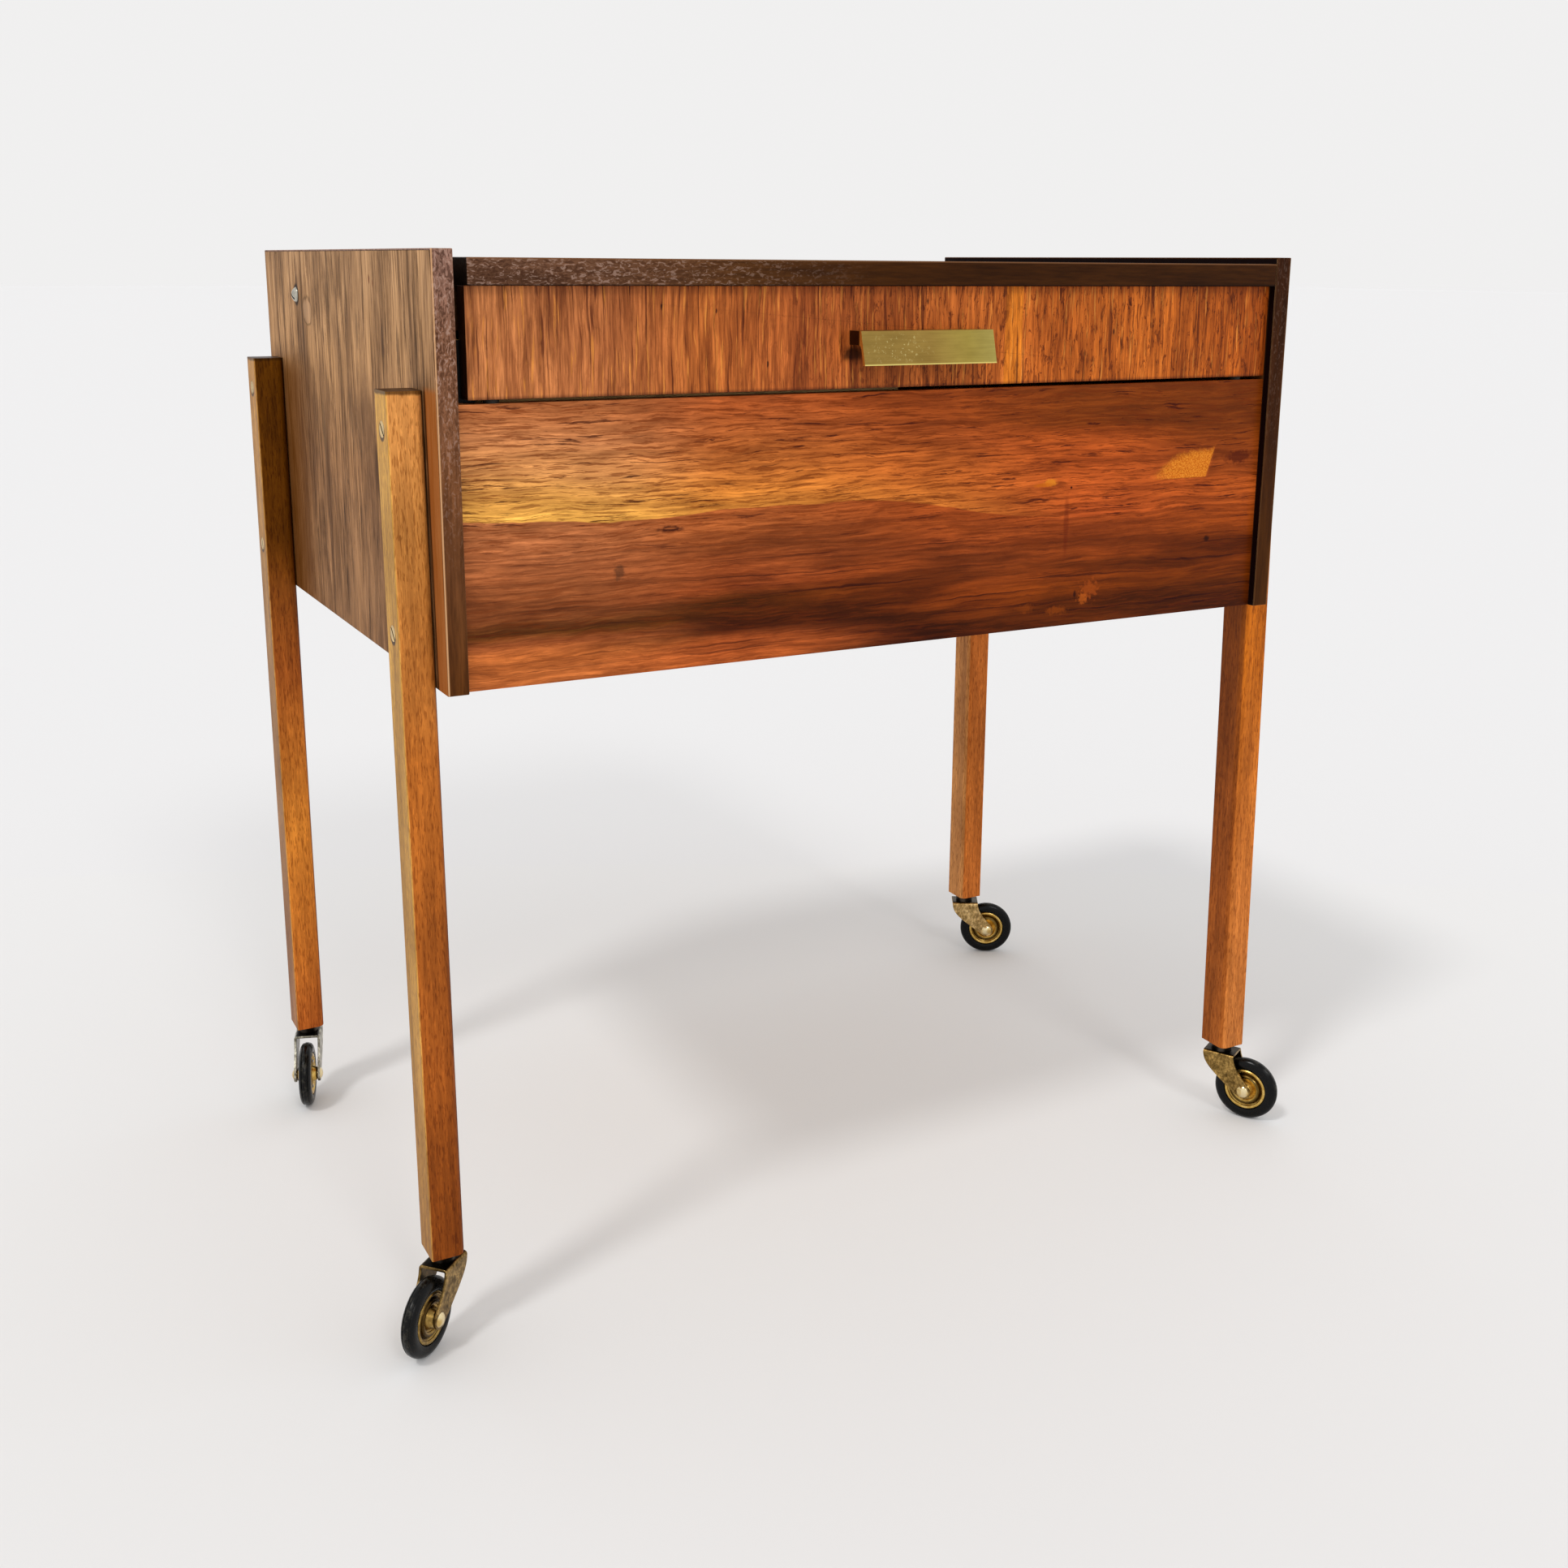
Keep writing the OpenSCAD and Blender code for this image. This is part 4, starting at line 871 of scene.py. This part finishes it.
def tyre_rubber(corner, seed):
    """Glossy black rubber, a little dusty where it rolls."""
    f = Finish("tyre_rubber_" + corner, Specular_IOR_Level=0.18)
    centre, axle = axle_of(corner)
    away = f.vector_calc("SUBTRACT", f.coordinates.outputs["Object"], centre)
    radius = f.vector_calc("LENGTH", f.vector_calc("CROSS_PRODUCT", away, axle))
    dust = f.noise(f.place((240, 240, 240), (seed, 0, 0)), 4, 0.65)
    tread = f.times(f.remap(radius, 21.2 * MM, 22.1 * MM), f.remap(dust, 0.45, 0.65))
    paint = f.blend(f.remap(dust, 0.4, 0.7), "0E0E0C", "1A1916")
    paint = f.stain(paint, tread, 0.25, "5A564C")
    f.bump(dust, 0.05 * MM, 0.4)
    return f.paint(paint, f.remap(dust, 0.3, 0.7, 0.16, 0.32))


def soft_rubber():
    """Matt grey-black rubber of the small pads."""
    f = Finish("rubber_pad", Specular_IOR_Level=0.3)
    dust = f.noise(f.place((500, 500, 500)), 4, 0.6)
    f.bump(dust, 0.05 * MM, 0.6)
    return f.paint(f.blend(dust, "1C1A18", "35322E"), f.remap(dust, 0.3, 0.7, 0.6, 0.8))


# Each node's material and edges ---------------------------------------------------------------

# Each edging's long axis, seed, tones along it, how pebbled it is, and its front edges' tone, which is wear with a
# painted highlight
EDGINGS = {
    "side_left_edging": (
        "Z", 2, [(0, "54341F"), (0.5, "6A4630"), (0.8, "745240"), (1, "86665A")], 1.0, "C89A70"),
    "side_right_edging": (
        "Z", 5, [(0, "442B12"), (0.5, "3E2710"), (1, "3A250C")], 0.15, "6A4A2A"),
    "lid_edging": (
        "X", 8, [(0, "5E4334"), (0.25, "4E3422"), (0.5, "3E280F"), (1, "3A260A")], 0.8, "6E4C34"),
}

# Tones up each leg, for its front and for its flanks, which differ by painted light and shade
LEG_TONES = {
    "front_left": (
        [(0, "804420"), (0.25, "884A24"), (0.6, "A05C2A"), (0.85, "BA7E42"), (1, "C88A4E")],
        [(0, "9A6C34"), (0.25, "9E7234"), (0.6, "A67A36"), (1, "B2843C")]),
    "rear_left": (
        [(0, "A85A2A"), (0.1, "B4682E"), (0.32, "BE7632"),
         (0.55, "985428"), (0.75, "643C1C"), (1, "5A381A")],
        [(0, "8A5A34"), (0.6, "8A6234"), (1, "A8783C")]),
    "front_right": (
        [(0, "A86636"), (0.25, "AE6632"), (0.6, "AE6024"), (1, "AA5A1E")],
        [(0, "8E5028"), (0.25, "8A4C26"), (0.6, "7C4422"), (1, "724020")]),
    "rear_right": (
        [(0, "AC6230"), (0.25, "A8602E"), (0.6, "A45C2E"), (1, "9E562A")],
        [(0, "B07848"), (0.25, "AC7646"), (0.6, "A87244"), (1, "A06A40")]),
}


def wooden_materials():
    """Materials of the case's boards and of the legs, by node."""
    made = {
        "side_left": side_veneer("side_left", 1),
        "side_right": side_veneer("side_right", 7),
    }
    for name, look in EDGINGS.items():
        made[name] = dark_edging(name, *look)
    made["upper_front"] = upper_front_veneer()
    made["lower_front"] = lower_front_veneer()
    made["lid_panel"] = panel_veneer("lid_veneer", "lid_panel", (0.05, 0.02, 0.57), "X", 3)
    made["back_panel"] = panel_veneer("back_veneer", "back_panel", (-0.04, 0.21, 0.44), "X", 9)
    made["bottom_panel"] = plywood("bottom_plywood", 2, 1.6 * MM)
    made["upper_tray_floor"] = plywood("upper_tray_plywood", 6, 1.0 * MM)
    made["lower_tray_floor"] = plywood("lower_tray_plywood", 9, 1.0 * MM)
    for seed, corner in enumerate(CORNERS):
        made["leg_" + corner] = leg_beech(corner, 1 + 4 * seed, *LEG_TONES[corner])
    return made


def fitting_materials():
    """Materials of the pull, pads, casters and pivot screws, by node."""
    pivot_face = abs(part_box("pivot_screw_left")[0].x)
    pivot_nickel = plain_metal("pivot_nickel", "8E8A80", "CCC8BA", 0.20, 6, slot_side=0.42,
                               slot_floor=pivot_face - 1.1 * MM)
    rivet_brass = plain_metal("rivet_brass", "B89858", "E0C890", 0.2, 11)
    made = {
        "handle": handle_brass(),
        "lid_bumpers": soft_rubber(),
        "caster_stems": plain_metal("caster_steel", "1A1816", "2A2724", 0.4, 3, "6A6258"),
        "pivot_screw_left": pivot_nickel,
        "pivot_screw_right": pivot_nickel,
    }
    for seed, corner in enumerate(CORNERS):
        made["fork_" + corner] = fork_metal(corner, seed)
        made["hub_" + corner] = hub_brass(corner, seed)
        made["tyre_" + corner] = tyre_rubber(corner, seed)
        made["axle_" + corner] = rivet_brass
    return made


def finish_nodes():
    """Gives every node its material: its own one, or the one that its slot shares."""
    own = wooden_materials() | fitting_materials()
    leg_face = abs(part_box("leg_front_left")[0].x)
    shared = {
        "nickel": plain_metal("nickel", "9A978E", "C8C4B8", 0.26, 5),
        "screw_brass": plain_metal("screw_brass", "B0904E", "D8B878", 0.28, 8, slot_side=0.25,
                                   slot_floor=leg_face - 0.5 * MM),
    }
    for seed, part in enumerate(parts):
        name, slot = part["node"], part["material_slot"]
        low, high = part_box(name)
        size = high - low
        axis = "XYZ"[max(range(3), key=lambda i: size[i])]
        if name in own:
            material = own[name]
        elif slot in shared:
            material = shared[slot]
        elif slot == "beech":
            material = beech(name, axis, seed)
        else:
            along = "Y" if "divider" in name else axis
            material = tray_wood("tray_wood_" + name, name, along, seed)
        nodes[name].data.materials.clear()
        nodes[name].data.materials.append(material)


# The width in millimetres of the rounding on the edges of each material slot's nodes
ROUNDED = {
    "side_veneer": 0.3, "dark_edging": 0.5, "walnut_veneer": 0.4, "plywood": 0.2,
    "tray_wood": 0.7, "beech": 0.8, "handle_brass": 0.25, "fork_metal": 0.25, "screw_brass": 0.1,
}


WELD_REACH = 0.01 * MM
SHARP_FROM = math.radians(32)


def round_edges():
    """Welds the facets of each node together and rounds its sharp edges."""
    for part in parts:
        width = ROUNDED.get(part["material_slot"])
        if width is None:
            continue
        node = nodes[part["node"]]
        mesh = node.data
        if "custom_normal" in mesh.attributes:
            mesh.attributes.remove(mesh.attributes["custom_normal"])
        for name in ("sharp_edge", "sharp_face"):
            if name in mesh.attributes:
                mesh.attributes.remove(mesh.attributes[name])
        weld = node.modifiers.new("weld", "WELD")
        weld.merge_threshold = WELD_REACH
        bevel = node.modifiers.new("rounded_edges", "BEVEL")
        bevel.width = width * MM
        bevel.segments = 2
        bevel.limit_method = "ANGLE"
        bevel.angle_limit = SHARP_FROM
        normals = node.modifiers.new("flat_faces", "WEIGHTED_NORMAL")
        normals.weight = 100


finish_nodes()
round_edges()


# Stage and light ------------------------------------------------------------------------------

SURROUNDING_TONE = (1, 0.993, 0.990, 1)
SURROUNDING_STRENGTH = 0.875
FLOOR_HALF = 40  # Metres from the cart to the floor's edges
BACKDROP_CENTRE = (-2.17, -3.95, 0)
BACKDROP_RADIUS = 5.0
FLOOR_NEAR = [(0.728, 0.728, 0.728, 1), (0.748, 0.748, 0.748, 1)]  # Its two clouded tones
FLOOR_FAR = (0.735, 0.735, 0.740, 1)

# Name, direction of travel, strength, spread in degrees, tone
SUNS = [
    ("left_light", (0.53, 0.21, -0.82), 0.85, 9, (1, 0.99, 0.98)),
    ("front_light", (0.02, 0.77, -0.64), 0.50, 14, (1, 1, 1)),
]


def make_stage():
    """A pale neutral floor, which is plainer and a touch bluer beyond a wide circle."""
    mesh = bpy.data.meshes.new("floor")
    square = [(FLOOR_HALF * x, FLOOR_HALF * y, 0) for x, y in [(-1, -1), (1, -1), (1, 1), (-1, 1)]]
    mesh.from_pydata(square, [], [(0, 1, 2, 3)])
    floor = bpy.data.objects.new("floor", mesh)
    bpy.context.scene.collection.objects.link(floor)
    f = Finish("floor_paper", Specular_IOR_Level=0.1)
    away = f.vector_calc("SUBTRACT", f.coordinates.outputs["Object"], BACKDROP_CENTRE)
    reach = f.vector_calc("LENGTH", away)
    outside = f.remap(reach, BACKDROP_RADIUS, BACKDROP_RADIUS + 12 * MM)
    cloud = f.noise(f.place((1.2, 1.2, 1.2)), 2)
    mesh.materials.append(f.paint(f.blend(outside, f.blend(cloud, *FLOOR_NEAR), FLOOR_FAR), 0.8))


def sun(name, travel, strength, spread, tone):
    """Soft light from far away, which travels in the given direction."""
    data = bpy.data.lights.new(name, "SUN")
    data.energy = strength
    data.angle = math.radians(spread)
    data.color = tone
    light = bpy.data.objects.new(name, data)
    light.rotation_euler = Vector(travel).to_track_quat("-Z", "Y").to_euler()
    bpy.context.scene.collection.objects.link(light)


def make_light():
    """An even pale surrounding, a soft light from the left and a weaker one from the front."""
    scene = bpy.context.scene
    world = bpy.data.worlds.new("surrounding")
    world.use_nodes = True
    background = world.node_tree.nodes["Background"]
    background.inputs["Color"].default_value = SURROUNDING_TONE
    background.inputs["Strength"].default_value = SURROUNDING_STRENGTH
    scene.world = world
    for look in SUNS:
        sun(*look)
    scene.view_settings.view_transform = "Standard"
    scene.view_settings.look = "None"


make_stage()
make_light()
